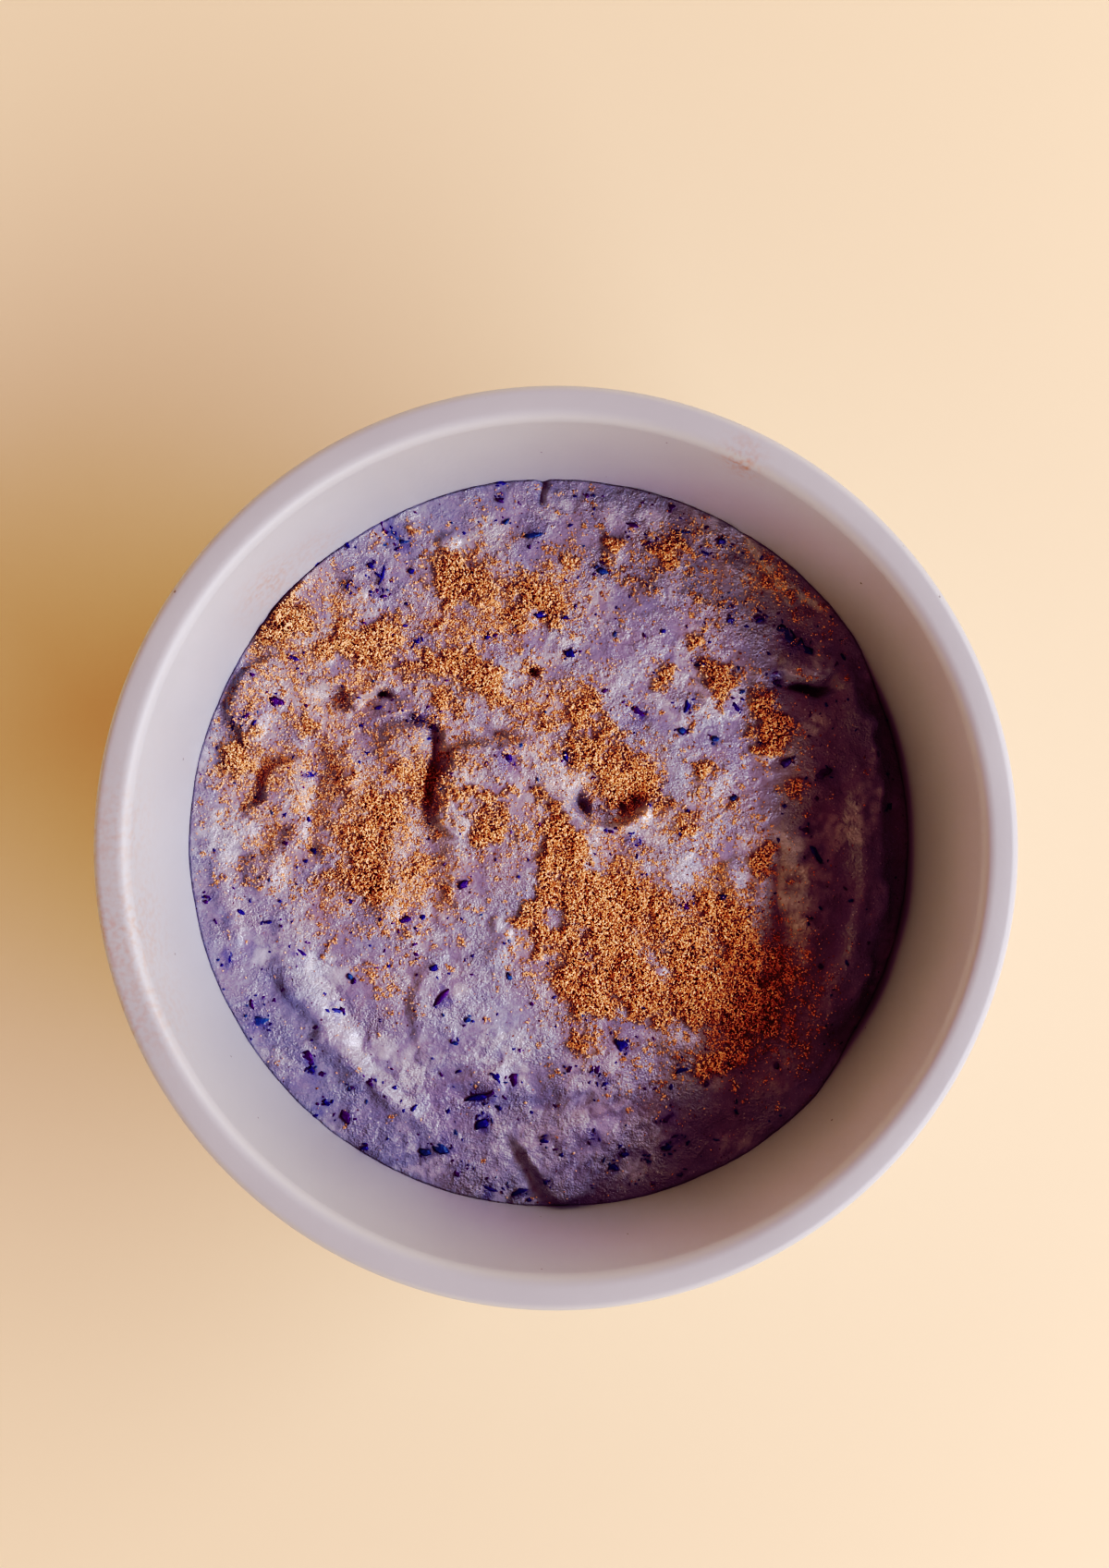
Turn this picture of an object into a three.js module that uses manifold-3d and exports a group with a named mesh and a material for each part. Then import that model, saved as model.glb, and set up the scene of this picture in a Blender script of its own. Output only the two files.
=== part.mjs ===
// A stoneware bowl of thick buckwheat porridge, lilac with berries and dusted with cinnamon.
// Millimetres, +Z up. The origin is the centre of the foot ring, on the table.
import * as THREE from "three";
import { mergeVertices } from "three/addons/utils/BufferGeometryUtils.js";
import Module from "manifold-3d";

const wasm = await Module();
wasm.setup();

// Bowl
const BOWL_RADIUS = 77;
const BOWL_HEIGHT = 68;
const WALL = 6;
const WALL_TAPER = 0.154; // how much the wall narrows for each millimetre down
const RIM_INSIDE_ROUND = 2.2;
const RIM_OUTSIDE_ROUND = 1.6;
const BASE_UNDER = 2.5; // height of the recessed underside
const BASE_THICKNESS = 5.5;
const OUTER_CORNER = 32; // radius where the wall turns into the base
const INNER_CORNER = 26;
const FOOT_INSIDE = 40;
const FOOT_OUTSIDE = 46;
const FOOT_ROUND = 0.8;
const FOOT_SLOPE = 0.4; // how far the underside runs in to the foot ring
const TURNS = 72; // sides of every round

// Porridge
const LEVEL = 42; // where the porridge meets the wall
const GAP = 0.3; // between the porridge and the bowl
const GRID = 58; // squares across the top of the porridge
const EDGE_DROP = 0.7; // how far its edge has slumped at the lowest side; opposite it clings to the wall
const EDGE_ROUND = 1;
const EDGE_LOWEST = -40; // that side, in degrees from +X
const PATH_STEP = 1.5;
const PATH_TAPER = 0.22; // share of a stroke's length that fades at each end
const LEAST_STEP = 1.1; // half width of the steepest face that the squares can hold
const SLOPE_REACH = 0.8; // how far round a scrap of skin its slope is measured
const SKIN_THICKNESS = 0.8;
const SKIN_SHOWS = 0.2; // share of the thickness that its middle lies above the porridge

// Uneven swelling: the size of the lumps and how far they reach, of the porridge's surface, of the strokes'
// paths across and along, and of the gap at the wall.
const SWELLING = [[11, 0.3], [4.7, 0.16]];
const BEND_X = [[6.1, 0.5], [2.7, 0.6]];
const BEND_Y = [[6.7, 0.5], [2.9, 0.6]];
const RAGGED = [[7.3, 1.3], [3.1, 0.7]];
const CLUMP_SIZE = 2.6;
const SCRAMBLE = { across: 127.1, along: 311.7, size: 74.7, by: 43758.5453 }; // spreads the lumps evenly

// Glaze, porridge and cinnamon as the eye sees them
const GLAZE = new THREE.MeshStandardMaterial({ color: 0xbfb4b6, roughness: 0.5, metalness: 0 });
const LILAC = new THREE.MeshStandardMaterial({ color: 0x8f7c98, roughness: 0.4, metalness: 0 });

// A closed geometry as a solid that can be joined and cut.
function solid(geometry) {
  const bare = geometry.clone();
  bare.deleteAttribute("normal");
  bare.deleteAttribute("uv");
  const merged = mergeVertices(bare, 1e-4);
  const index = merged.index.array;
  const kept = [];
  for (let i = 0; i < index.length; i += 3) {
    const [a, b, c] = index.slice(i, i + 3);
    if (a !== b && b !== c && c !== a) kept.push(a, b, c);
  }
  const mesh = new wasm.Mesh({
    numProp: 3,
    vertProperties: merged.attributes.position.array,
    triVerts: new Uint32Array(kept),
  });
  return new wasm.Manifold(mesh);
}

function geometryOf(body) {
  const { vertProperties, triVerts } = body.getMesh();
  const geometry = new THREE.BufferGeometry();
  geometry.setAttribute("position", new THREE.BufferAttribute(vertProperties, 3));
  geometry.setIndex(new THREE.BufferAttribute(triVerts, 1));
  const flat = geometry.toNonIndexed();
  flat.computeVertexNormals();
  return flat;
}

// Points along an arc in the profile plane (radius, height), from one angle to another in degrees.
function arc(r, z, radius, from, to, steps) {
  const points = [];
  for (let i = 0; i <= steps; i++) {
    const angle = THREE.MathUtils.degToRad(from + ((to - from) * i) / steps);
    points.push(new THREE.Vector2(r + radius * Math.cos(angle), z + radius * Math.sin(angle)));
  }
  return points;
}

const point = (r, z) => new THREE.Vector2(r, z);
const turned = (profile) => new THREE.LatheGeometry(profile, TURNS).rotateX(Math.PI / 2);

// Radius of the outer and of the inner wall at a height.
const SHOULDER = BOWL_HEIGHT - RIM_OUTSIDE_ROUND;
const outerRadius = (z) => BOWL_RADIUS - (SHOULDER - z) * WALL_TAPER;
const innerRadius = (z) => outerRadius(z) - WALL;
const TAPER_DEGREES = THREE.MathUtils.radToDeg(Math.atan(WALL_TAPER));

// The inside of the bowl from the axis outwards and up the wall, moved in by a gap.
function insideProfile(gap, top) {
  const floor = BASE_UNDER + BASE_THICKNESS;
  const centre = floor + INNER_CORNER;
  const lean = THREE.MathUtils.degToRad(TAPER_DEGREES);
  const meets = centre - INNER_CORNER * Math.sin(lean);
  const across = innerRadius(meets) - INNER_CORNER * Math.cos(lean);
  const corner = arc(across, centre, INNER_CORNER - gap, -90, -TAPER_DEGREES, 6);
  return [point(0, floor + gap), ...corner, point(innerRadius(top) - gap, top)];
}

function bowlGeometry() {
  const centre = BASE_UNDER + OUTER_CORNER;
  const lean = THREE.MathUtils.degToRad(TAPER_DEGREES);
  const meets = centre - OUTER_CORNER * Math.sin(lean);
  const across = outerRadius(meets) - OUTER_CORNER * Math.cos(lean);
  const foot = THREE.MathUtils.radToDeg(Math.acos((FOOT_OUTSIDE - across) / OUTER_CORNER));
  const rimTop = BOWL_HEIGHT - RIM_INSIDE_ROUND;
  const inside = insideProfile(0, rimTop).reverse();
  return turned([
    point(0, BASE_UNDER),
    point(FOOT_INSIDE - FOOT_SLOPE, BASE_UNDER),
    ...arc(FOOT_INSIDE + FOOT_ROUND, FOOT_ROUND, FOOT_ROUND, 180, 270, 2),
    ...arc(FOOT_OUTSIDE - FOOT_ROUND, FOOT_ROUND, FOOT_ROUND, 270, 360, 2),
    ...arc(across, centre, OUTER_CORNER, -foot, -TAPER_DEGREES, 7),
    ...arc(BOWL_RADIUS - RIM_OUTSIDE_ROUND, SHOULDER, RIM_OUTSIDE_ROUND, 0, 90, 3),
    ...arc(innerRadius(rimTop) + RIM_INSIDE_ROUND, rimTop, RIM_INSIDE_ROUND, 90, 180, 3),
    ...inside.slice(1),
  ]);
}

// What the spoon left, in millimetres from the middle of the bowl, seen from above. Each path is a smooth
// curve through its points, and each stroke fades out towards both ends of its path.
// Ridges: height, half width and path. A furrow has a negative height.
const RIDGES = [
  // the ridge that the spoon pushed up at the lower left, the furrow inside it, the slope outside it
  [0.5, 4.0, [[-50, -6], [-49, -18], [-46.6, -26], [-43, -31.5], [-40, -36.6], [-36.4, -40.6],
      [-31.6, -44.8], [-25.6, -49.4], [-20, -55], [-16, -59]]],
  [-1.1, 3.2, [[-45, -14], [-43, -20.6], [-40.2, -25.6], [-37.4, -30], [-35.4, -33.6], [-33.8, -37.2],
      [-31.8, -40.4], [-29.2, -43.2], [-24, -48], [-19, -53]]],
  [-0.15, 8, [[-68, -2], [-64, -22], [-54, -40], [-41, -53], [-24, -63], [-6, -67]]],
  [-0.2, 7, [[-30, 59], [-16, 65], [0, 67], [20, 64], [36, 56]]],
  [0.8, 4, [[-67, 21], [-64, 31.5], [-57.6, 42], [-48.4, 51.4], [-38, 59]]],
  // the trough left of the middle, then the lip of the hollow in it
  [-1.3, 1.2, [[-34, 22], [-28, 22.2], [-24.6, 21.4], [-22.6, 18.6], [-22.2, 14.6], [-23.4, 11],
      [-23.6, 7.4], [-22.6, 3]]],
  [-0.8, 3.8, [[-26, 22], [-24.6, 12], [-24, 3], [-23, -6], [-21, -14], [-22, -24]]],
  [1.3, 1.4, [[-4, 12.5], [-0.6, 8], [4, 4.4], [8.4, 3], [13, 3.4], [16.2, 6], [17.2, 10.5]]],
  // low swells and furrows all round
  [-0.8, 1.8, [[-15, -49.4], [-6, -48.8], [2, -49.2], [8, -46.6]]],
  [-1.2, 0.8, [[-3, 70], [-2.4, 62]]],
  [1.2, 2.4, [[-32, 0], [-29.5, -7], [-33, -16]]],
  [0.7, 1.6, [[-12, -14], [-9, -18], [-14, -23]]],
  [1.2, 2.6, [[31, -4], [35, -14], [38, -26]]],
  [1.5, 3.2, [[43, 6], [47.5, -10], [44, -30]]],
  [-1.0, 1.6, [[41, 2], [41, -10], [43, -20]]],
  [0.9, 2.2, [[53, 22], [57, 4], [55, -18], [48, -32]]],
  [0.8, 2.2, [[-62, 0], [-60, -12], [-57, -20]]],
  [-1.0, 2.2, [[-45, 22], [-44, 8], [-46, -4]]],
  [0.9, 2.2, [[-40, 18], [-38, 12], [-38, 4]]],
];
// Folds, high on the left of the path: how far they rise, drop and reach, half width of the step, and path.
const FOLDS = [
  // both flanks of the spoon's ridge
  [1.2, 0.2, 5.6, 1.7, [[-50, -10], [-51, -18], [-50.3, -25.4], [-47.6, -29.8], [-44.4, -33.6],
      [-42.6, -37], [-40.6, -39.8], [-37.6, -42.8], [-32.6, -46.8], [-28, -49.4], [-24, -53],
      [-20.4, -56.2]]],
  [0.6, 0.1, 4.5, 1.2, [[-45, -15], [-43, -21], [-40.6, -25.4], [-38, -29.6], [-36, -33.2], [-34.6, -37],
      [-32.6, -40.2], [-30, -43], [-24.6, -47.6], [-20.6, -53]]],
  // the slab left of the middle, the skin over the trough, the lip of the hollow
  [1.2, 0.8, 6.5, 0.5, [[-1, 19.4], [-6, 18.8], [-11, 18.2], [-16.6, 17.4], [-19.2, 15.4], [-21.6, 12.6],
      [-22.3, 9.6], [-21, 7.4], [-21.6, 5], [-20, 2.4], [-18, 0], [-15, -1]]],
  [0.2, 0.2, 4.0, 2.2, [[-22, 8], [-21, 2], [-20.4, -4], [-20.6, -10], [-21, -17], [-23, -24]]],
  [0.5, 0.9, 3.4, 0.6, [[-34, 22.2], [-30.5, 22.9], [-27, 23.2], [-24, 22.6], [-21.8, 20.8], [-20.9, 18],
      [-20.8, 14.6]]],
  [0.5, 1.0, 2.6, 0.5, [[17.4, 8.6], [15.6, 5.6], [12, 3.8], [8, 3.6], [4.8, 4.6], [3.7, 6.4], [4.4, 9],
      [6.6, 11.6]]],
  // the broad lobe below it
  [0.7, 0.25, 7.0, 1.6, [[-21.6, -20], [-24.8, -24], [-26.4, -28], [-26.7, -33], [-25.8, -37.6],
      [-22.6, -40.4], [-17, -41.6], [-11, -41.6]]],
  // the torn edge at the upper left
  [1.0, 1.2, 4.0, 0.5, [[-48, 29], [-43, 29.2], [-39.6, 28.4], [-38, 26.4], [-36.4, 25.2], [-34.6, 26.2],
      [-32, 27.6], [-27, 29]]],
  // lobes that end short of the wall
  [0.8, 1.1, 3.6, 1.1, [[-9, -52], [-6.4, -56.6], [-4.4, -60.2], [-2.8, -63.4], [0, -65.4], [4, -65],
      [8, -62]]],
  [0.8, 0.7, 4.0, 0.6, [[-49, 35.5], [-56.6, 32.6], [-59.6, 27.4], [-60.4, 23.8], [-57.8, 20.6],
      [-55.6, 17.4], [-50, 15.6]]],
  [0.7, 0.8, 3.4, 0.6, [[-44, 14.8], [-50, 14.4], [-53.6, 11.6], [-54.2, 8], [-56.8, 5.6], [-53, 4],
      [-48, 4.6]]],
  [1.4, 1.4, 4.0, 0.6, [[40, 32], [44, 30.2], [48, 29.4], [52.5, 31]]],
  [-0.2, 1.5, 6.0, 0.8, [[34, 60], [38, 52], [43, 46.5], [51, 42]]],
  [0.6, 0.6, 3.0, 0.6, [[-42, 50], [-38, 48.4], [-34, 48.6], [-32, 46]]],
];
// Mounds: place, half sizes, height and turn in degrees. A hollow has a negative height.
const MOUNDS = [
  [[-16, -31], [10, 8], 0.5, -15],
  [[-28, 17.5], [4.6, 4.4], 1.9, 30],
  [[-8, 8], [12, 9.5], 0.8, 0],
  [[10, 8.2], [6.2, 4.2], -1.8, 5],
  [[4.6, 7], [1.0, 2.3], -2.2, 8],
  [[13.2, 8], [3.4, 2.8], -1.5, 0],
  [[-12, 20.6], [3.2, 1.3], -1.6, 0],
  [[-31.9, 26.7], [1.4, 0.6], -2.0, 10],
  [[-40.6, 26.6], [3.4, 1.7], -1.3, 0],
  [[-3.8, 31.4], [1.4, 1.0], -2.4, 0],
  [[-16, -46.6], [3.4, 1.6], -0.7, -10],
  [[-53, 1.5], [3.4, 3.4], -0.8, 0],
  [[47.2, 28.3], [3.6, 0.8], -3.0, -6],
  [[48.5, 32.8], [4.2, 2.8], 1.2, 0],
  [[-56, 25.5], [4.4, 6.6], 1.0, -15],
  [[-50, 9.5], [4.6, 4], 1.2, 0],
  [[-53.5, -6], [3.8, 4], 1.4, 0],
  [[-36, 47], [3, 2.4], 0.7, 0],
  [[-20, 55.6], [2.1, 1.6], 1.3, 0],
  [[-14, 62], [8, 5], 0.6, 0],
  [[6, -54.5], [8, 4], 1.1, 0],
  [[2.5, -61], [5, 3.6], 1.0, 0],
  [[6, -43], [9, 4.5], 1.1, 10],
  [[-14, -45], [7, 2.6], 0.6, 0],
  [[27, -46], [8, 5], 1.0, 30],
  [[22, 43], [11, 6.5], 1.0, 0],
  [[25, 20], [8, 9], 0.9, 0],
  [[-47, 37], [7, 5], 0.8, 40],
  [[-6, 50], [9, 5], 0.8, 0],
  [[48, 14], [5, 8], 0.9, 0],
  [[-9, -7], [7, 5], 0.7, 0],
  [[26, 5], [6, 5], 0.7, 0],
  [[10, 33], [8, 5], 0.7, 20],
];
// Where the porridge has come away from the wall: angles in degrees, how wide and how deep the gap is.
const AWAY = { from: -46, to: 36, width: 3.3, depth: 4.2, fade: 15 };
// Heaps of cinnamon: place, radius and thickness.
const HEAPS = [
  [2, -3, 6, 0.5], [12, -13, 8, 0.6], [12, -26, 7, 0.6], [22, -26, 8, 0.7], [33, -26, 8, 0.7],
  [22, -17, 6, 0.5], [40, -33, 5, 0.6], [-18, 50, 4, 0.9], [-13, 46, 4, 0.6], [-6, 42, 3, 0.7],
  [-50, 42, 5, 0.6], [-37, 38, 6, 0.5], [-17, 32, 5, 0.5], [-12, 28, 3, 0.6], [8, 17, 6, 0.5],
  [14, 11, 4, 0.6], [-59, 15, 3.5, 0.7], [-46, 20, 3, 0.5], [-34, 3, 5, 0.5], [-36, -7, 4, 0.5],
  [30, 27, 3.5, 0.8], [39, 24, 3, 0.8], [39, 17, 2, 0.8], [28, 12, 3, 0.7], [39, -3, 3.5, 0.6],
  [21, 53, 3, 0.7], [11, 54, 2.5, 0.6],
];
// The larger scraps of berry skin: place, length, width and turn in degrees.
const SKINS = [
  [-31.9, 59.3, 4.2, 1.3, -75], [-30.2, 56.6, 3.2, 1.3, -50], [-10.2, 66, 2.6, 1.2, 10],
  [-4.2, 56.6, 3.8, 1.5, 10], [-32, 49.3, 3.2, 1.0, 80], [-33, 45.4, 2.4, 1.3, -60],
  [-38, 47.2, 2.2, 1.0, 50], [-48.4, 33.6, 2.6, 1.0, -15], [-51.3, 25.6, 2.6, 2.2, 20],
  [-59.2, 22, 2.2, 1.0, 70], [-25.3, 22.8, 3.4, 1.0, -20], [-22.6, 21.6, 2.4, 1.0, -50],
  [-9, 15.6, 3.4, 1.2, -40], [2, 15.6, 2.0, 0.9, -70], [2.6, 34.8, 2.4, 1.8, -40], [-2.8, 42, 2.6, 1.1, 15],
  [15.2, 24, 2.8, 1.7, -35], [24, 25, 3.0, 1.2, 75], [27, 33, 2.4, 0.9, 10], [31.6, 43.4, 2.2, 1.3, -30],
  [42.8, 38.4, 4.6, 3.6, -50], [45.6, 35.8, 3.6, 2.6, -35], [41, 31.2, 2.4, 0.8, 5],
  [27.6, 53.6, 2.2, 0.9, -25], [23, 57.4, 3.2, 0.9, 5], [14, 58.5, 2.4, 0.9, -20], [8.6, 50, 2.0, 1.2, -20],
  [49.4, 12.6, 2.6, 2.0, 20], [46, 2, 2.0, 1.6, 0], [18.4, 9, 2.2, 0.9, -10], [47.8, -2.2, 3.4, 1.4, -60],
  [14.8, -0.2, 3.0, 1.6, 20], [24, -11.2, 2.2, 1.8, -30], [13.6, -23.2, 2.2, 1.1, 0],
  [-20.6, -28.4, 4.0, 1.5, 50], [-27.5, -14.4, 2.6, 1.3, 10], [-16.8, -7.8, 2.2, 1.4, 30],
  [-10.8, -43.2, 2.1, 1.6, -60], [-7.9, -43.4, 2.0, 1.5, 80], [-14.6, -47, 4.0, 1.2, 10],
  [-12.4, -46.4, 2.4, 0.8, 20], [-13.4, -51.8, 2.3, 1.7, 25], [-21, -56.2, 3.6, 1.9, -25],
  [-23.8, -56.8, 2.4, 1.4, 10], [-18, -60.3, 2.4, 1.3, -45], [-12.2, -64.2, 3.4, 1.6, -20],
  [-6.8, -64.4, 2.8, 1.2, 15], [11.8, -37.3, 2.2, 2.0, 0], [7, -54, 2.2, 1.4, -20],
  [21.8, -54.4, 2.1, 1.1, 10], [20.7, -56.1, 2.1, 1.2, 15], [20.6, -50.6, 2.6, 1.3, 40],
  [-54.4, -33, 3.0, 2.6, -20], [-55.4, -29.6, 2.4, 1.0, -65], [-45.6, -39.4, 2.8, 1.8, -60],
  [-38.4, -50.2, 2.8, 1.5, -45], [-59.8, -21.4, 2.6, 1.0, -75], [-47, -20.2, 2.8, 1.2, -35],
  [-45.3, 12.7, 2.0, 1.4, 30], [-40, -31, 2.6, 1.0, -20], [23, -42, 2.0, 0.9, 20],
  [42.5, 14.5, 2.0, 1.4, 30],
];

const smooth = (t) => {
  const s = THREE.MathUtils.clamp(t, 0, 1);
  return s * s * (3 - 2 * s);
};

// A stroke's path as short straight steps, worked out once.
function traced(path) {
  const curve = new THREE.SplineCurve(path.map(([x, y]) => new THREE.Vector2(x, y)));
  const steps = Math.max(Math.round(curve.getLength() / PATH_STEP), 4);
  return curve.getPoints(steps);
}

// How a place lies to a traced path: the distance with its side, + on the left, and how far along it is.
function beside(points, x, y) {
  let best = { distance: Infinity, signed: 0, along: 0 };
  for (let i = 0; i + 1 < points.length; i++) {
    const [a, b] = [points[i], points[i + 1]];
    const length = a.distanceTo(b);
    const [ux, uy] = [(b.x - a.x) / length, (b.y - a.y) / length];
    const t = THREE.MathUtils.clamp((x - a.x) * ux + (y - a.y) * uy, 0, length);
    const distance = Math.hypot(x - a.x - t * ux, y - a.y - t * uy);
    if (distance < best.distance) {
      const left = (y - a.y) * ux - (x - a.x) * uy >= 0;
      best = { distance, signed: left ? distance : -distance, along: (i + t / length) / (points.length - 1) };
    }
  }
  return best;
}

const taper = (along) => smooth(along / PATH_TAPER) * smooth((1 - along) / PATH_TAPER);

function ridgeHeight([tall, width, points], x, y) {
  const { distance, along } = beside(points, x, y);
  return tall * taper(along) * Math.exp(-((distance / width) ** 2));
}

function foldHeight([rise, drop, reach, step, points], x, y) {
  const { signed, along } = beside(points, x, y);
  const half = Math.max(step, LEAST_STEP);
  const over = smooth((signed + half) / (2 * half));
  return taper(along) * Math.exp(-((signed / reach) ** 2)) * (rise * over - drop * (1 - over));
}

function moundHeight([at, size, tall, turn], x, y) {
  const angle = THREE.MathUtils.degToRad(turn);
  const [dx, dy] = [x - at[0], y - at[1]];
  const u = (dx * Math.cos(angle) + dy * Math.sin(angle)) / size[0];
  const v = (dy * Math.cos(angle) - dx * Math.sin(angle)) / size[1];
  return tall * Math.exp(-((u * u + v * v) ** 1.5));
}

// Uneven swelling of the porridge, from -1 to 1, in lumps of a given size, the same every time.
function swell(x, y, size) {
  const draw = (i, j) => {
    const s = Math.sin(i * SCRAMBLE.across + j * SCRAMBLE.along + size * SCRAMBLE.size) * SCRAMBLE.by;
    return 2 * (s - Math.floor(s)) - 1;
  };
  const [c, d] = [Math.cos(size), Math.sin(size)];
  const [u, v] = [(c * x + d * y) / size, (c * y - d * x) / size];
  const [i, j] = [Math.floor(u), Math.floor(v)];
  const [s, t] = [smooth(u - i), smooth(v - j)];
  const low = draw(i, j) * (1 - s) + draw(i + 1, j) * s;
  const high = draw(i, j + 1) * (1 - s) + draw(i + 1, j + 1) * s;
  return low * (1 - t) + high * t;
}

// Swelling in lumps of several sizes, each with its own reach.
const uneven = (x, y, lumps) => lumps.reduce((sum, [size, reach]) => sum + reach * swell(x, y, size), 0);

// The porridge sinks beside the wall, a little where it has slumped and deep where it has come away.
function sinkAtWall(x, y) {
  const inwards = innerRadius(LEVEL) - Math.hypot(x, y);
  const angle = THREE.MathUtils.radToDeg(Math.atan2(y, x));
  const away = smooth((angle - AWAY.from) / AWAY.fade) * smooth((AWAY.to - angle) / AWAY.fade);
  const width = AWAY.width + uneven(x, y, RAGGED);
  const slumped = 0.5 + 0.5 * Math.cos(THREE.MathUtils.degToRad(angle - EDGE_LOWEST));
  const rounded = EDGE_DROP * slumped * Math.exp(-Math.max(inwards, 0) / EDGE_ROUND);
  return -rounded - away * AWAY.depth * smooth(1.7 - inwards / width);
}

const ridges = RIDGES.map(([tall, width, path]) => [tall, width, traced(path)]);
const folds = FOLDS.map(([rise, drop, reach, step, path]) => [rise, drop, reach, step, traced(path)]);

// Height of the porridge at a place. The strokes are bent a little, as porridge never keeps a clean edge.
function height(x, y) {
  const bentX = x + uneven(x, y, BEND_X);
  const bentY = y + uneven(x, y, BEND_Y);
  let z = LEVEL + uneven(x, y, SWELLING);
  ridges.forEach((ridge) => (z += ridgeHeight(ridge, bentX, bentY)));
  folds.forEach((fold) => (z += foldHeight(fold, bentX, bentY)));
  MOUNDS.forEach((mound) => (z += moundHeight(mound, bentX, bentY)));
  const clumps = 0.75 + 0.5 * swell(x, y, CLUMP_SIZE);
  HEAPS.forEach(([cx, cy, radius, thickness]) => {
    z += clumps * moundHeight([[cx, cy], [radius, radius], thickness, 0], bentX, bentY);
  });
  return z + sinkAtWall(x, y);
}

// One scrap of skin, a thin low gem half sunk in the porridge and tilted as the surface is.
function skin([x, y, length, width, turn]) {
  const slopeX = (height(x + SLOPE_REACH, y) - height(x - SLOPE_REACH, y)) / (2 * SLOPE_REACH);
  const slopeY = (height(x, y + SLOPE_REACH) - height(x, y - SLOPE_REACH)) / (2 * SLOPE_REACH);
  const up = new THREE.Vector3(-slopeX, -slopeY, 1).normalize();
  const gem = new THREE.IcosahedronGeometry(1, 0).scale(length / 2, width / 2, SKIN_THICKNESS / 2);
  gem.rotateZ(THREE.MathUtils.degToRad(turn));
  gem.applyQuaternion(new THREE.Quaternion().setFromUnitVectors(new THREE.Vector3(0, 0, 1), up));
  return gem.translate(x, y, height(x, y) + SKIN_THICKNESS * SKIN_SHOWS);
}

function porridgeGeometry() {
  const across = 2 * (innerRadius(BOWL_HEIGHT) + 1);
  const slab = new THREE.BoxGeometry(across, across, LEVEL, GRID, GRID, 1).translate(0, 0, LEVEL / 2);
  const at = slab.attributes.position;
  for (let i = 0; i < at.count; i++) {
    if (at.getZ(i) > LEVEL / 2) at.setZ(i, height(at.getX(i), at.getY(i)));
  }
  const scraps = SKINS.map((place) => solid(skin(place)));
  const heaped = scraps.reduce((whole, scrap) => whole.add(scrap), solid(slab));
  const room = [...insideProfile(GAP, BOWL_HEIGHT), point(0, BOWL_HEIGHT)];
  const bodies = heaped.intersect(solid(turned(room))).decompose();
  bodies.sort((a, b) => b.volume() - a.volume()); // a scrap that the wall cuts loose is left out
  return geometryOf(bodies[0]);
}

function mesh(name, geometry, material) {
  const made = new THREE.Mesh(geometry, material);
  made.name = name;
  return made;
}

const group = new THREE.Group();
group.add(mesh("bowl", bowlGeometry(), GLAZE));
group.add(mesh("porridge", porridgeGeometry(), LILAC));

export default group;
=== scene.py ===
# A matte stoneware bowl of thick buckwheat porridge, coloured lilac by berries and dusted with cinnamon.
# Metres, +Z up, the foot ring of the bowl on the table at z = 0.
import math

import bpy
import numpy as np
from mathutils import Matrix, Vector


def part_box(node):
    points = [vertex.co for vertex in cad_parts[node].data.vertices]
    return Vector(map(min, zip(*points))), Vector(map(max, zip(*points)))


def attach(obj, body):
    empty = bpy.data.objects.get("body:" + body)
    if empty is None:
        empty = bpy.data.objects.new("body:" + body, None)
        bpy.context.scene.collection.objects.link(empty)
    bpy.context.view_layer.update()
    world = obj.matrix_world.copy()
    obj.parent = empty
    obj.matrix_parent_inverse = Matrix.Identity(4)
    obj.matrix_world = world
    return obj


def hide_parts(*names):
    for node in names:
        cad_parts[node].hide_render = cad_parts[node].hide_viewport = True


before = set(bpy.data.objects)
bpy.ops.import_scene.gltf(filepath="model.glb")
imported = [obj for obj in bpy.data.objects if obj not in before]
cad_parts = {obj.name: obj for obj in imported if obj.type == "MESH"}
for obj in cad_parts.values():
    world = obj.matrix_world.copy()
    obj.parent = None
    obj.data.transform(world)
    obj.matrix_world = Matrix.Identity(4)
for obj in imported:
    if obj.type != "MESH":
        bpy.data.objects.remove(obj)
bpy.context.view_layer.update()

MM = 0.001


# ----------------------------------------------------------------------
# How pieces and materials are made
# Short helpers: a new mesh, and the nodes that a material is joined up from.
def new_piece(name, points, edges, faces):
    """A new piece from points in metres, with nothing else selected."""
    mesh = bpy.data.meshes.new(name)
    mesh.from_pydata(points, edges, faces)
    piece = bpy.data.objects.new(name, mesh)
    bpy.context.collection.objects.link(piece)
    bpy.ops.object.select_all(action="DESELECT")
    bpy.context.view_layer.objects.active = piece
    piece.select_set(True)
    return piece, mesh


def made_smooth():
    """Turns the faces of the piece that is selected outwards and shades it smooth."""
    bpy.ops.object.mode_set(mode="EDIT")
    bpy.ops.mesh.select_all(action="SELECT")
    bpy.ops.mesh.normals_make_consistent(inside=False)
    bpy.ops.object.mode_set(mode="OBJECT")
    bpy.ops.object.shade_smooth()


def remembered(mesh, name, values):
    """Keeps one number for each point of a mesh, for its material to read."""
    mesh.attributes.new(name, "FLOAT", "POINT").data.foreach_set("value", values)


def add(tree, kind, inputs, **settings):
    """A node of a material with its settings; an input is a plain value or the output of another node."""
    node = tree.nodes.new("ShaderNode" + kind)
    for name, value in settings.items():
        setattr(node, name, value)
    for name, value in inputs.items():
        if isinstance(value, bpy.types.NodeSocket):
            tree.links.new(value, node.inputs[name])
        else:
            node.inputs[name].default_value = value
    return node


def noise(tree, at, scale, detail):
    return add(tree, "TexNoise", {"Vector": at, "Scale": scale, "Detail": detail}).outputs["Fac"]


def spread(tree, value, low, high, to_low=0, to_high=1):
    inputs = {"Value": value, "From Min": low, "From Max": high, "To Min": to_low, "To Max": to_high}
    return add(tree, "MapRange", inputs).outputs["Result"]


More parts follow.
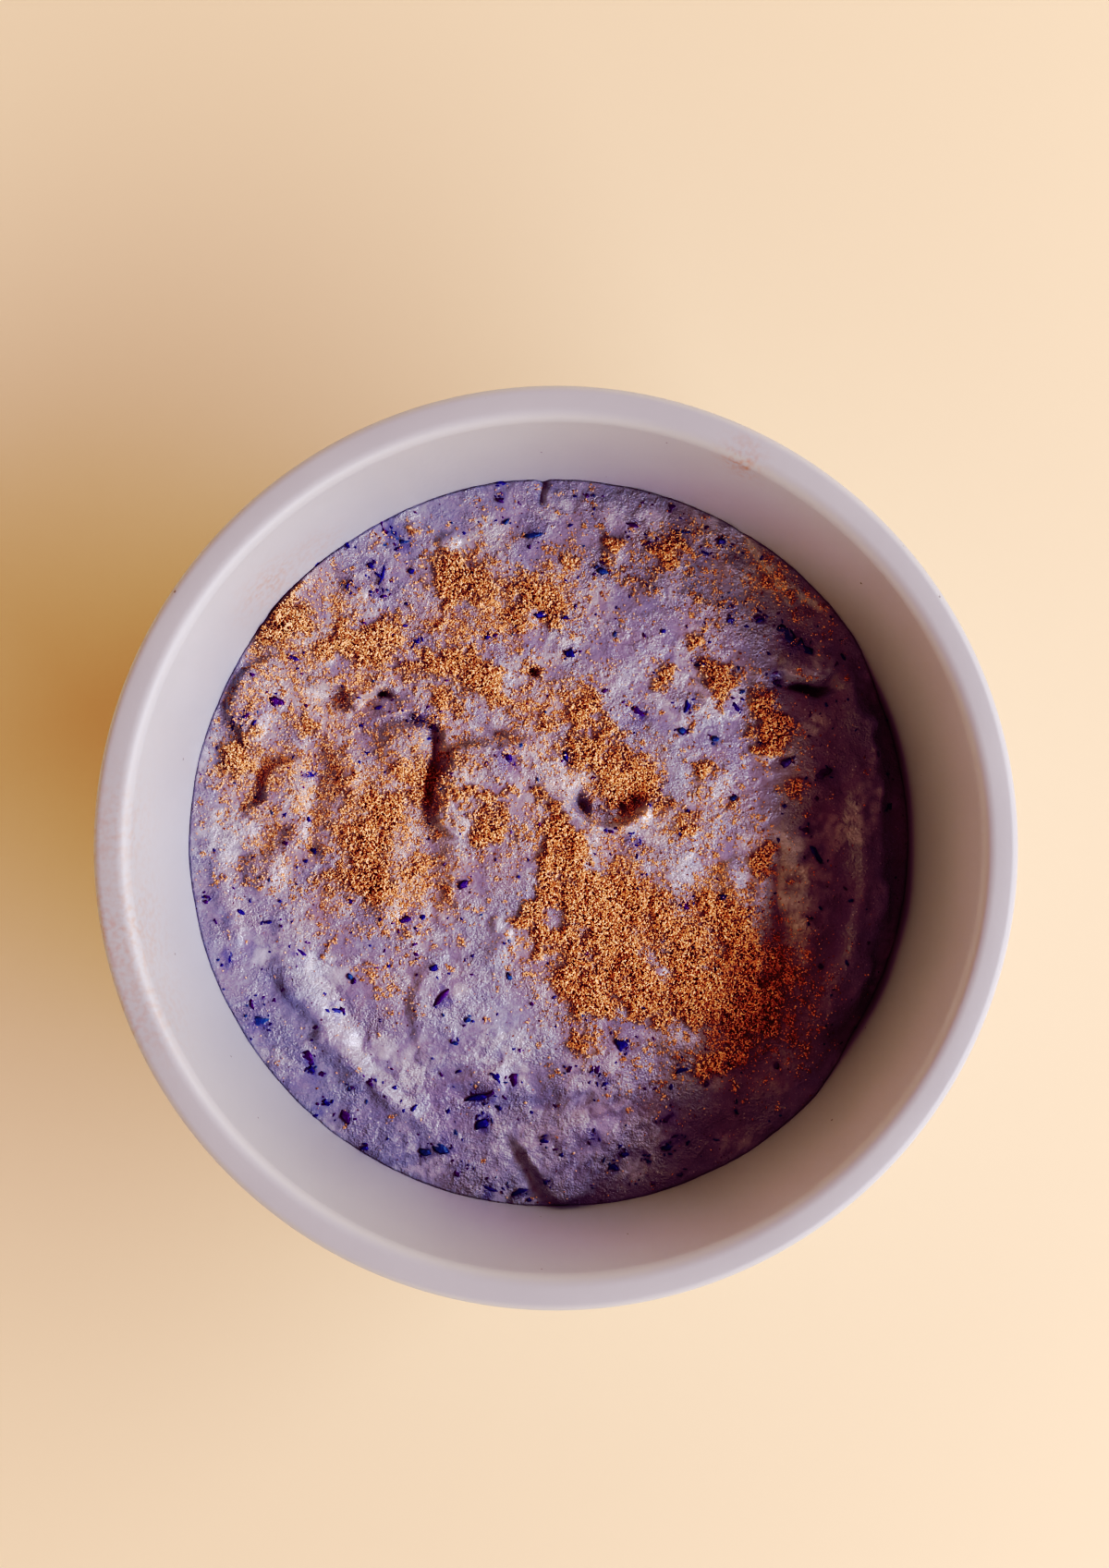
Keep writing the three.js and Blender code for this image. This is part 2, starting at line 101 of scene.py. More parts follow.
def combined(tree, operation, a, b):
    return add(tree, "Math", {0: a, 1: b}, operation=operation).outputs["Value"]


def mixed(tree, share, a, b):
    return add(tree, "MixRGB", {"Fac": share, "Color1": a, "Color2": b}).outputs["Color"]


def tinted(tree, color, mask, strength, tint):
    """Mixes in a tint where a mask lies; the strength is a number or another mask."""
    return mixed(tree, combined(tree, "MULTIPLY", mask, strength), color, tint)


def field(tree, name):
    return add(tree, "Attribute", {}, attribute_name=name).outputs["Fac"]


# Tiny dots scattered in clay or food, for more than one material: one dot in a share of the cells, the rest
# left bare.
specks = bpy.data.node_groups.new("scattered_specks", "ShaderNodeTree")
specks.interface.new_socket("Place", in_out="INPUT", socket_type="NodeSocketVector")
for socket in ("Scale", "Size", "Share"):
    specks.interface.new_socket(socket, in_out="INPUT", socket_type="NodeSocketFloat")
specks.interface.new_socket("Mask", in_out="OUTPUT", socket_type="NodeSocketFloat")
given = specks.nodes.new("NodeGroupInput")
result = specks.nodes.new("NodeGroupOutput")
cells = add(specks, "TexVoronoi", {"Vector": given.outputs["Place"], "Scale": given.outputs["Scale"]})
draw = add(specks, "SeparateColor", {"Color": cells.outputs["Color"]})
chosen = combined(specks, "LESS_THAN", draw.outputs["Red"], given.outputs["Share"])
larger = spread(specks, draw.outputs["Green"], 0, 1, 0.5, 1.2)
dot = combined(specks, "MULTIPLY", given.outputs["Size"], larger)
covered = combined(specks, "LESS_THAN", cells.outputs["Distance"], dot)
specks.links.new(combined(specks, "MULTIPLY", covered, chosen), result.inputs["Mask"])


def scattered(tree, at, scale, size, share):
    """The tiny dots as a material has them: how close they lie, how large they are, and how many."""
    node = tree.nodes.new("ShaderNodeGroup")
    node.node_tree = specks
    tree.links.new(at, node.inputs["Place"])
    node.inputs["Scale"].default_value = scale
    node.inputs["Size"].default_value = size
    node.inputs["Share"].default_value = share
    return node.outputs["Mask"]


def material(name):
    """A new material: its node tree, its shader and the place that its patterns are read at."""
    made = bpy.data.materials.new(name)
    made.use_nodes = True
    tree = made.node_tree
    return made, tree, tree.nodes["Principled BSDF"], add(tree, "TexCoord", {}).outputs["Object"]


def finished(tree, shader, color, roughness, relief, depth):
    """Joins the colour, the roughness and a relief of a real depth to the shader."""
    tree.links.new(color, shader.inputs["Base Color"])
    tree.links.new(roughness, shader.inputs["Roughness"])
    bump = add(tree, "Bump", {"Height": relief, "Strength": 1.0, "Distance": depth})
    tree.links.new(bump.outputs["Normal"], shader.inputs["Normal"])


# ----------------------------------------------------------------------
# The bowl
# One piece of thrown stoneware: a wall that tapers down to a broad rounded base on a low foot ring. The
# satin-matte mauve-grey glaze has fine dark specks, and dry cinnamon is smudged on its wall and lip.
BOWL_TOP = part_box("bowl")[1]
BOWL_RADIUS = BOWL_TOP.x
BOWL_HEIGHT = BOWL_TOP.z
BOWL_WALL = 6 * MM
BOWL_TAPER = 0.154  # how much the wall narrows for each unit down
LIP_INSIDE_ROUND = 2.2 * MM
LIP_OUTSIDE_ROUND = 1.6 * MM
BASE_UNDER = 2.5 * MM
BASE_THICKNESS = 5.5 * MM
OUTER_CORNER, INNER_CORNER = 32 * MM, 26 * MM  # radii where the wall turns into the base
FOOT_INSIDE, FOOT_OUTSIDE = 40 * MM, 46 * MM
FOOT_ROUND = 0.8 * MM
FOOT_SLOPE = 0.5 * MM  # how far the underside runs in to the foot ring
BOWL_TURNS = 192
# Steps of the profile: on the floor and up the inner and the outer wall, then round each of its arcs.
FLOOR_STEPS, INNER_WALL_STEPS, OUTER_WALL_STEPS = 4, 8, 10
INNER_CORNER_STEPS, OUTER_CORNER_STEPS = 18, 20
LIP_INSIDE_STEPS, LIP_OUTSIDE_STEPS, FOOT_STEPS = 9, 8, 4

WALL_LEAN = math.atan(BOWL_TAPER)
SHOULDER = BOWL_HEIGHT - LIP_OUTSIDE_ROUND
LIP_START = BOWL_HEIGHT - LIP_INSIDE_ROUND


def outer_radius(z):
    return BOWL_RADIUS - (SHOULDER - z) * BOWL_TAPER


def inner_radius(z):
    return outer_radius(z) - BOWL_WALL


def arc(r, z, radius, start, end, steps):
    angles = np.radians(np.linspace(start, end, steps + 1))
    return [(r + radius * math.cos(a), z + radius * math.sin(a)) for a in angles]


def straight(a, b, steps):
    return [(a[0] + (b[0] - a[0]) * i / steps, a[1] + (b[1] - a[1]) * i / steps) for i in range(1, steps)]


def inside_profile(gap, top, steps):
    """The hollow of the bowl from the axis outwards and up, moved in by a gap."""
    floor = BASE_UNDER + BASE_THICKNESS
    centre = floor + INNER_CORNER
    meets = centre - INNER_CORNER * math.sin(WALL_LEAN)
    across = inner_radius(meets) - INNER_CORNER * math.cos(WALL_LEAN)
    corner = arc(across, centre, INNER_CORNER - gap, -90, -math.degrees(WALL_LEAN), steps)
    lip = (inner_radius(top) - gap, top)
    along_floor = straight((0, floor), corner[0], FLOOR_STEPS)
    up_wall = straight(corner[-1], lip, INNER_WALL_STEPS)
    return [(0, floor + gap), *along_floor, *corner, *up_wall, lip]


def bowl_profile():
    centre = BASE_UNDER + OUTER_CORNER
    meets = centre - OUTER_CORNER * math.sin(WALL_LEAN)
    across = outer_radius(meets) - OUTER_CORNER * math.cos(WALL_LEAN)
    foot = math.degrees(math.acos((FOOT_OUTSIDE - across) / OUTER_CORNER))
    corner = arc(across, centre, OUTER_CORNER, -foot, -math.degrees(WALL_LEAN), OUTER_CORNER_STEPS)
    outside, inside = BOWL_RADIUS - LIP_OUTSIDE_ROUND, inner_radius(LIP_START) + LIP_INSIDE_ROUND
    lip = arc(outside, SHOULDER, LIP_OUTSIDE_ROUND, 0, 90, LIP_OUTSIDE_STEPS)
    lip += arc(inside, LIP_START, LIP_INSIDE_ROUND, 90, 180, LIP_INSIDE_STEPS)
    return [
        (0, BASE_UNDER),
        (FOOT_INSIDE / 2, BASE_UNDER),
        (FOOT_INSIDE - FOOT_SLOPE, BASE_UNDER),
        *arc(FOOT_INSIDE + FOOT_ROUND, FOOT_ROUND, FOOT_ROUND, 180, 270, FOOT_STEPS),
        *arc(FOOT_OUTSIDE - FOOT_ROUND, FOOT_ROUND, FOOT_ROUND, 270, 360, FOOT_STEPS),
        *corner,
        *straight(corner[-1], lip[0], OUTER_WALL_STEPS),
        *lip,
        *inside_profile(0, LIP_START, INNER_CORNER_STEPS)[-2::-1],
    ]


profile = [(r, 0, z) for r, z in bowl_profile()]
bowl, bowl_mesh = new_piece("bowl_body", profile, [(i, i + 1) for i in range(len(profile) - 1)], [])
bpy.ops.object.mode_set(mode="EDIT")
bpy.ops.mesh.select_all(action="SELECT")
bpy.ops.mesh.spin(steps=BOWL_TURNS, angle=2 * math.pi, center=(0, 0, 0), axis=(0, 0, 1))
bpy.ops.mesh.select_all(action="SELECT")
bpy.ops.mesh.remove_doubles(threshold=0.001 * MM)
made_smooth()

# Where cinnamon brushed the bowl: the place, how wide the mark is, and how strong.
SMUDGES = [
    ((-52 * MM, 47 * MM, 51 * MM), 6 * MM, 0.5),
    ((-44 * MM, 54 * MM, 49 * MM), 5 * MM, 0.3),
    ((31 * MM, 65 * MM, 66 * MM), 3 * MM, 0.7),
    ((-72 * MM, -14 * MM, 67 * MM), 10 * MM, 0.35),
    ((-70 * MM, -26 * MM, 67 * MM), 9 * MM, 0.3),
    ((-74 * MM, 2 * MM, 67 * MM), 9 * MM, 0.25),
]
bowl_at = np.empty(len(bowl_mesh.vertices) * 3)
bowl_mesh.vertices.foreach_get("co", bowl_at)
bowl_at = bowl_at.reshape(-1, 3)
smudge = np.zeros(len(bowl_at))
for place, width, strength in SMUDGES:
    apart = np.linalg.norm(bowl_at - place, axis=1)
    smudge = np.maximum(smudge, strength * np.exp(-((apart / width) ** 2)))
remembered(bowl_mesh, "smudge", smudge)

GLAZE_LIGHT = (0.455, 0.455, 0.515, 1)
GLAZE_DARK = (0.405, 0.405, 0.46, 1)
GLAZE_SPECK = (0.09, 0.05, 0.045, 1)
CINNAMON_SMUDGE = (0.42, 0.20, 0.09, 1)

glaze, tree, shader, at = material("satin_glaze")
cloud = noise(tree, at, scale=45, detail=5)
iron = scattered(tree, at, scale=330, size=0.07, share=0.10)
pinholes = scattered(tree, at, scale=190, size=0.05, share=0.05)
dust = spread(tree, noise(tree, at, scale=900, detail=4), 0.42, 0.68)
color = mixed(tree, cloud, GLAZE_DARK, GLAZE_LIGHT)
color = tinted(tree, color, iron, 0.5, GLAZE_SPECK)
color = tinted(tree, color, pinholes, 0.8, GLAZE_SPECK)
color = tinted(tree, color, field(tree, "smudge"), dust, CINNAMON_SMUDGE)
peel = combined(tree, "SUBTRACT", noise(tree, at, scale=700, detail=3), pinholes)
finished(tree, shader, color, spread(tree, cloud, 0.3, 0.7, 0.36, 0.50), peel, 0.03 * MM)
shader.inputs["Specular IOR Level"].default_value = 0.4
bowl_mesh.materials.append(glaze)

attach(bowl, "root")
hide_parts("bowl")


# ----------------------------------------------------------------------
# The porridge
# Buckwheat cooked soft and blended with berries, thick enough to keep every stroke of the spoon. It was
# ladled in, swirled with the back of the spoon, and has pulled away from the wall on one side.
LEVEL = 42.0  # height at the wall; the strokes and heaps below are in millimetres, seen from above
PORRIDGE_GAP = 0.05 * MM
GROUND_STEP = 0.25  # spacing of the ground that everything on top is laid on
GROUND_HALF = 69.0
TOP_SQUARES = 300  # squares across the top of the mesh
SIDE_TOP, BOTTOM_RADIUS = 30 * MM, 20 * MM  # of the plain mesh under it
SIDE_STEPS, RING_EVERY = 3, 3  # the steps of its corner, and a ring at every third point
EDGE_DROP, EDGE_ROUND = 0.7, 1.0  # how far the edge has slumped at most, and how far in from the wall
EDGE_LOWEST = -40  # the side, in degrees, where it has slumped most; it clings to the wall opposite
PATH_STEP = 1.5
PATH_TAPER = 0.22  # share of a stroke's length that fades at each end
STROKE_REACH = 3  # a stroke is felt as far from its path as so many times its half width or its reach
MOUND_FALL = 1.5  # how squarely a mound's side falls; 1 would be a bell

# Uneven swelling: the size of the lumps and how far they reach. First of the surface, of the strokes' paths
# in x and y, and of the gap at the wall; then of the finest relief, of the edges of stains in x and y, of
# clots of cinnamon, of drifted dust, of the juice round the skins and of the painted sheen.
SWELLING = ((11, 0.3), (4.7, 0.16))
BEND_X, BEND_Y = ((6.1, 0.5), (2.7, 0.6)), ((6.7, 0.5), (2.9, 0.6))
RAGGED = ((7.3, 1.3), (3.1, 0.7))
FINE_RELIEF = ((2.6, 0.10), (1.3, 0.08))
STRAY_X, STRAY_Y = ((2.1, 1.1), (0.9, 0.6)), ((2.4, 1.1), (1.0, 0.6))
CLOTS = ((3.4, 0.5), (1.8, 0.4), (0.95, 0.35))
DRIFTS = ((5.7, 0.4), (2.3, 0.35))
BLOTCHES = ((1.2, 0.5), (0.7, 0.5))
SHEEN_LUMPS = ((1.1, 0.8),)
CLUMP_SIZE, CLUMP_MIDDLE, CLUMP_VARIES = 2.6, 0.75, 0.5  # heaps of cinnamon are uneven in thickness too
SWELL_SEED = 74.7  # what the lumps of each size are drawn from
# Cooked grains that swell the surface: size and height of the large ones, which lie here and there, and of
# the small ones all over.
LARGE_GRAIN, LARGE_GRAIN_RISE, GRAIN_PATCHES = 2.3, 0.15, 6.1
SMALL_GRAIN, SMALL_GRAIN_RISE = 1.25, 0.11

# Ridges and, where the height is negative, furrows: height, half width, path.
RIDGES = [
    # the ridge that the spoon pushed up at the lower left, the furrow inside it, the slope outside it
    (0.5, 4.0, [(-50, -6), (-49, -18), (-46.6, -26), (-43, -31.5), (-40, -36.6), (-36.4, -40.6),
        (-31.6, -44.8), (-25.6, -49.4), (-20, -55), (-16, -59)]),
    (-1.1, 3.2, [(-45, -14), (-43, -20.6), (-40.2, -25.6), (-37.4, -30), (-35.4, -33.6), (-33.8, -37.2),
        (-31.8, -40.4), (-29.2, -43.2), (-24, -48), (-19, -53)]),
    (-0.15, 8, [(-68, -2), (-64, -22), (-54, -40), (-41, -53), (-24, -63), (-6, -67)]),
    (-0.2, 7, [(-30, 59), (-16, 65), (0, 67), (20, 64), (36, 56)]),
    (0.8, 4, [(-67, 21), (-64, 31.5), (-57.6, 42), (-48.4, 51.4), (-38, 59)]),
    # the trough left of the middle, then the lip of the hollow in it
    (-1.3, 1.2, [(-34, 22), (-28, 22.2), (-24.6, 21.4), (-22.6, 18.6), (-22.2, 14.6), (-23.4, 11),
        (-23.6, 7.4), (-22.6, 3)]),
    (-0.8, 3.8, [(-26, 22), (-24.6, 12), (-24, 3), (-23, -6), (-21, -14), (-22, -24)]),
    (1.3, 1.4, [(-4, 12.5), (-0.6, 8), (4, 4.4), (8.4, 3), (13, 3.4), (16.2, 6), (17.2, 10.5)]),
    # low swells and furrows all round
    (-0.8, 1.8, [(-15, -49.4), (-6, -48.8), (2, -49.2), (8, -46.6)]),
    (-1.2, 0.8, [(-3, 70), (-2.4, 62)]),
    (1.2, 2.4, [(-32, 0), (-29.5, -7), (-33, -16)]),
    (0.7, 1.6, [(-12, -14), (-9, -18), (-14, -23)]),
    (1.2, 2.6, [(31, -4), (35, -14), (38, -26)]),
    (1.5, 3.2, [(43, 6), (47.5, -10), (44, -30)]),
    (-1.0, 1.6, [(41, 2), (41, -10), (43, -20)]),
    (0.9, 2.2, [(53, 22), (57, 4), (55, -18), (48, -32)]),
    (0.8, 2.2, [(-62, 0), (-60, -12), (-57, -20)]),
    (-1.0, 2.2, [(-45, 22), (-44, 8), (-46, -4)]),
    (0.9, 2.2, [(-40, 18), (-38, 12), (-38, 4)]),
]
# Folds, high on the left of the path: how far they rise, drop and reach, how wide the step is, and the path.
FOLDS = [
    # both flanks of the spoon's ridge
    (1.2, 0.2, 5.6, 1.7, [(-50, -10), (-51, -18), (-50.3, -25.4), (-47.6, -29.8), (-44.4, -33.6),
        (-42.6, -37), (-40.6, -39.8), (-37.6, -42.8), (-32.6, -46.8), (-28, -49.4), (-24, -53),
        (-20.4, -56.2)]),
    (0.6, 0.1, 4.5, 1.2, [(-45, -15), (-43, -21), (-40.6, -25.4), (-38, -29.6), (-36, -33.2), (-34.6, -37),
        (-32.6, -40.2), (-30, -43), (-24.6, -47.6), (-20.6, -53)]),
    # the slab left of the middle, the skin over the trough, the lip of the hollow
    (1.2, 0.8, 6.5, 0.5, [(-1, 19.4), (-6, 18.8), (-11, 18.2), (-16.6, 17.4), (-19.2, 15.4), (-21.6, 12.6),
        (-22.3, 9.6), (-21, 7.4), (-21.6, 5), (-20, 2.4), (-18, 0), (-15, -1)]),
    (0.2, 0.2, 4.0, 2.2, [(-22, 8), (-21, 2), (-20.4, -4), (-20.6, -10), (-21, -17), (-23, -24)]),
    (0.5, 0.9, 3.4, 0.6, [(-34, 22.2), (-30.5, 22.9), (-27, 23.2), (-24, 22.6), (-21.8, 20.8), (-20.9, 18),
        (-20.8, 14.6)]),
    (0.5, 1.0, 2.6, 0.5, [(17.4, 8.6), (15.6, 5.6), (12, 3.8), (8, 3.6), (4.8, 4.6), (3.7, 6.4), (4.4, 9),
        (6.6, 11.6)]),
    # the broad lobe below it
    (0.7, 0.25, 7.0, 1.6, [(-21.6, -20), (-24.8, -24), (-26.4, -28), (-26.7, -33), (-25.8, -37.6),
        (-22.6, -40.4), (-17, -41.6), (-11, -41.6)]),
    # the torn edge at the upper left
    (1.0, 1.2, 4.0, 0.5, [(-48, 29), (-43, 29.2), (-39.6, 28.4), (-38, 26.4), (-36.4, 25.2), (-34.6, 26.2),
        (-32, 27.6), (-27, 29)]),
    # lobes that end short of the wall
    (0.8, 1.1, 3.6, 1.1, [(-9, -52), (-6.4, -56.6), (-4.4, -60.2), (-2.8, -63.4), (0, -65.4), (4, -65),
        (8, -62)]),
    (0.8, 0.7, 4.0, 0.6, [(-49, 35.5), (-56.6, 32.6), (-59.6, 27.4), (-60.4, 23.8), (-57.8, 20.6),
        (-55.6, 17.4), (-50, 15.6)]),
    (0.7, 0.8, 3.4, 0.6, [(-44, 14.8), (-50, 14.4), (-53.6, 11.6), (-54.2, 8), (-56.8, 5.6), (-53, 4),
        (-48, 4.6)]),
    (1.4, 1.4, 4.0, 0.6, [(40, 32), (44, 30.2), (48, 29.4), (52.5, 31)]),
    (-0.2, 1.5, 6.0, 0.8, [(34, 60), (38, 52), (43, 46.5), (51, 42)]),
    (0.6, 0.6, 3.0, 0.6, [(-42, 50), (-38, 48.4), (-34, 48.6), (-32, 46)]),
]
# Mounds and, where the height is negative, hollows: place, half sizes, height, turn in degrees.
MOUNDS = [
    ((-16, -31), (10, 8), 0.5, -15),
    ((-28, 17.5), (4.6, 4.4), 1.9, 30),
    ((-8, 8), (12, 9.5), 0.8, 0),
    ((10, 8.2), (6.2, 4.2), -1.8, 5),
    ((4.6, 7), (1.0, 2.3), -2.2, 8),
    ((13.2, 8), (3.4, 2.8), -1.5, 0),
    ((-12, 20.6), (3.2, 1.3), -1.6, 0),
    ((-31.9, 26.7), (1.4, 0.6), -2.0, 10),
    ((-40.6, 26.6), (3.4, 1.7), -1.3, 0),
    ((-3.8, 31.4), (1.4, 1.0), -2.4, 0),
    ((-16, -46.6), (3.4, 1.6), -0.7, -10),
    ((-53, 1.5), (3.4, 3.4), -0.8, 0),
    ((47.2, 28.3), (3.6, 0.8), -3.0, -6),
    ((48.5, 32.8), (4.2, 2.8), 1.2, 0),
    ((-56, 25.5), (4.4, 6.6), 1.0, -15),
    ((-50, 9.5), (4.6, 4), 1.2, 0),
    ((-53.5, -6), (3.8, 4), 1.4, 0),
    ((-36, 47), (3, 2.4), 0.7, 0),
    ((-20, 55.6), (2.1, 1.6), 1.3, 0),
    ((-14, 62), (8, 5), 0.6, 0),
    ((6, -54.5), (8, 4), 1.1, 0),
    ((2.5, -61), (5, 3.6), 1.0, 0),
    ((6, -43), (9, 4.5), 1.1, 10),
    ((-14, -45), (7, 2.6), 0.6, 0),
    ((27, -46), (8, 5), 1.0, 30),
    ((22, 43), (11, 6.5), 1.0, 0),
    ((25, 20), (8, 9), 0.9, 0),
    ((-47, 37), (7, 5), 0.8, 40),
    ((-6, 50), (9, 5), 0.8, 0),
    ((48, 14), (5, 8), 0.9, 0),
    ((-9, -7), (7, 5), 0.7, 0),
    ((26, 5), (6, 5), 0.7, 0),
    ((10, 33), (8, 5), 0.7, 20),
]
# Where it has come away from the wall: angles in degrees, then width and depth of the gap, whose slope ends
# so many widths from the wall.
AWAY_FROM, AWAY_TO, AWAY_FADE, AWAY_WIDTH, AWAY_DEPTH = -46, 36, 15, 3.3, 4.2
AWAY_SLOPE = 1.7
# Heaps of cinnamon: place, radius, thickness.
HEAPS = [
    (2, -3, 6, 0.5), (12, -13, 8, 0.6), (12, -26, 7, 0.6), (22, -26, 8, 0.7), (33, -26, 8, 0.7),
    (22, -17, 6, 0.5), (40, -33, 5, 0.6), (-18, 50, 4, 0.9), (-13, 46, 4, 0.6), (-6, 42, 3, 0.7),
    (-50, 42, 5, 0.6), (-37, 38, 6, 0.5), (-17, 32, 5, 0.5), (-12, 28, 3, 0.6), (8, 17, 6, 0.5),
    (14, 11, 4, 0.6), (-59, 15, 3.5, 0.7), (-46, 20, 3, 0.5), (-34, 3, 5, 0.5), (-36, -7, 4, 0.5),
    (30, 27, 3.5, 0.8), (39, 24, 3, 0.8), (39, 17, 2, 0.8), (28, 12, 3, 0.7), (39, -3, 3.5, 0.6),
    (21, 53, 3, 0.7), (11, 54, 2.5, 0.6),
]


def smooth(t):
    s = np.clip(t, 0, 1)
    return s * s * (3 - 2 * s)


def traced(path):
    """A smooth curve through the points of a path, in short straight steps."""
    p = np.array(path, float)
    n = len(p) - 1
    steps = max(round(np.hypot(*np.diff(p, axis=0).T).sum() / PATH_STEP), 4)
    points = []
    for k in range(steps + 1):
        t = n * k / steps
        i = min(int(t), n - 1)
        w = t - i
        before, here, there, after = p[max(i - 1, 0)], p[i], p[i + 1], p[min(i + 2, n)]
        out, into = (there - before) / 2, (after - here) / 2
        bend = (2 * here - 2 * there + out + into) * w + (-3 * here + 3 * there - 2 * out - into)
        points.append((bend * w + out) * w + here)
    return np.array(points)


def beside(path, x, y):
    """Distance from a path, + on its left, and how far along it a place lies, from 0 to 1."""
    q = traced(path)
    nearest, signed, along = np.full(x.shape, np.inf), np.zeros(x.shape), np.zeros(x.shape)
    for i in range(len(q) - 1):
        (ax, ay), (bx, by) = q[i], q[i + 1]
        length = math.hypot(bx - ax, by - ay)
        ux, uy = (bx - ax) / length, (by - ay) / length
        t = np.clip((x - ax) * ux + (y - ay) * uy, 0, length)
        distance = np.hypot(x - ax - t * ux, y - ay - t * uy)
        closer = distance < nearest
        left = (y - ay) * ux - (x - ax) * uy >= 0
        nearest = np.where(closer, distance, nearest)
        signed = np.where(closer, np.where(left, distance, -distance), signed)
        along = np.where(closer, (i + t / length) / (len(q) - 1), along)
    return signed, along


def near(path, x, y, reach):
    """The places close enough to a path for its stroke to matter."""
    p = np.array(path)
    low, high = p.min(0) - reach, p.max(0) + reach
    return (x > low[0]) & (x < high[0]) & (y > low[1]) & (y < high[1])


def taper(along):
    return smooth(along / PATH_TAPER) * smooth((1 - along) / PATH_TAPER)


def mound(at, size, turn, x, y):
    """A rounded heap: 1 at its top, about a third at its half sizes, and soon 0 beyond them."""
    angle = math.radians(turn)
    dx, dy = x - at[0], y - at[1]
    u = (dx * math.cos(angle) + dy * math.sin(angle)) / size[0]
    v = (dy * math.cos(angle) - dx * math.sin(angle)) / size[1]
    return np.exp(-((u * u + v * v) ** MOUND_FALL))


def scrambled(i, j, seed, across=127.1, along=311.7, times=43758.5453):
    """A number from 0 to 1 for each cell of a grid, the same every time."""
    s = np.sin(i * across + j * along + seed) * times
    return s - np.floor(s)


def swell(x, y, size):
    """Uneven swelling, from -1 to 1, in lumps of a given size."""

    def draw(i, j):
        return 2 * scrambled(i, j, size * SWELL_SEED) - 1

    c, d = math.cos(size), math.sin(size)
    u, v = (c * x + d * y) / size, (c * y - d * x) / size
    i, j = np.floor(u), np.floor(v)
    s, t = smooth(u - i), smooth(v - j)
    low = draw(i, j) * (1 - s) + draw(i + 1, j) * s
    high = draw(i, j + 1) * (1 - s) + draw(i + 1, j + 1) * s
    return low * (1 - t) + high * t


def swells(x, y, lumps):
    """Swelling in lumps of several sizes, each with its own reach."""
    return sum(reach * swell(x, y, size) for size, reach in lumps)


def sink_at_wall(x, y):
    """How far it lies lower near the wall, where its edge has slumped or come away; a negative number."""
    inwards = inner_radius(LEVEL * MM) / MM - np.hypot(x, y)
    angle = np.degrees(np.arctan2(y, x))
    away = smooth((angle - AWAY_FROM) / AWAY_FADE) * smooth((AWAY_TO - angle) / AWAY_FADE)
    width = AWAY_WIDTH + swells(x, y, RAGGED)
    slumped = 0.5 + 0.5 * np.cos(np.radians(angle - EDGE_LOWEST))
    rounded = EDGE_DROP * slumped * np.exp(-np.maximum(inwards, 0) / EDGE_ROUND)
    return -rounded - away * AWAY_DEPTH * smooth(AWAY_SLOPE - inwards / width)


def height(x, y):
    """Height of the porridge above the table, without its finest relief."""
    bent_x, bent_y = x + swells(x, y, BEND_X), y + swells(x, y, BEND_Y)
    z = LEVEL + swells(x, y, SWELLING)
    for tall, width, path in RIDGES:
        k = near(path, bent_x, bent_y, STROKE_REACH * width)
        signed, along = beside(path, bent_x[k], bent_y[k])
        z[k] += tall * taper(along) * np.exp(-((signed / width) ** 2))
    for rise, drop, reach, step, path in FOLDS:
        k = near(path, bent_x, bent_y, STROKE_REACH * reach)
        signed, along = beside(path, bent_x[k], bent_y[k])
        over = smooth((signed + step) / (2 * step))
        z[k] += taper(along) * np.exp(-((signed / reach) ** 2)) * (rise * over - drop * (1 - over))
    for at, size, tall, turn in MOUNDS:
        z += tall * mound(at, size, turn, bent_x, bent_y)
    clumps = CLUMP_MIDDLE + CLUMP_VARIES * swell(x, y, CLUMP_SIZE)
    for cx, cy, radius, thickness in HEAPS:
        z += clumps * thickness * mound((cx, cy), (radius, radius), 0, bent_x, bent_y)
    return z + sink_at_wall(x, y)


def granules(x, y, size, seed):
    """Soft cooked grains: round bumps of about one size, shoulder to shoulder, from 0 to 1."""
    i, j = np.floor(x / size), np.floor(y / size)
    nearest = np.full(x.shape, np.inf)
    for di in (-1, 0, 1):
        for dj in (-1, 0, 1):
            px = i + di + scrambled(i + di, j + dj, seed)
            py = j + dj + scrambled(i + di, j + dj, seed, 269.5, 183.3)
            nearest = np.minimum(nearest, (x / size - px) ** 2 + (y / size - py) ** 2)
    return np.clip(1 - nearest, 0, 1)


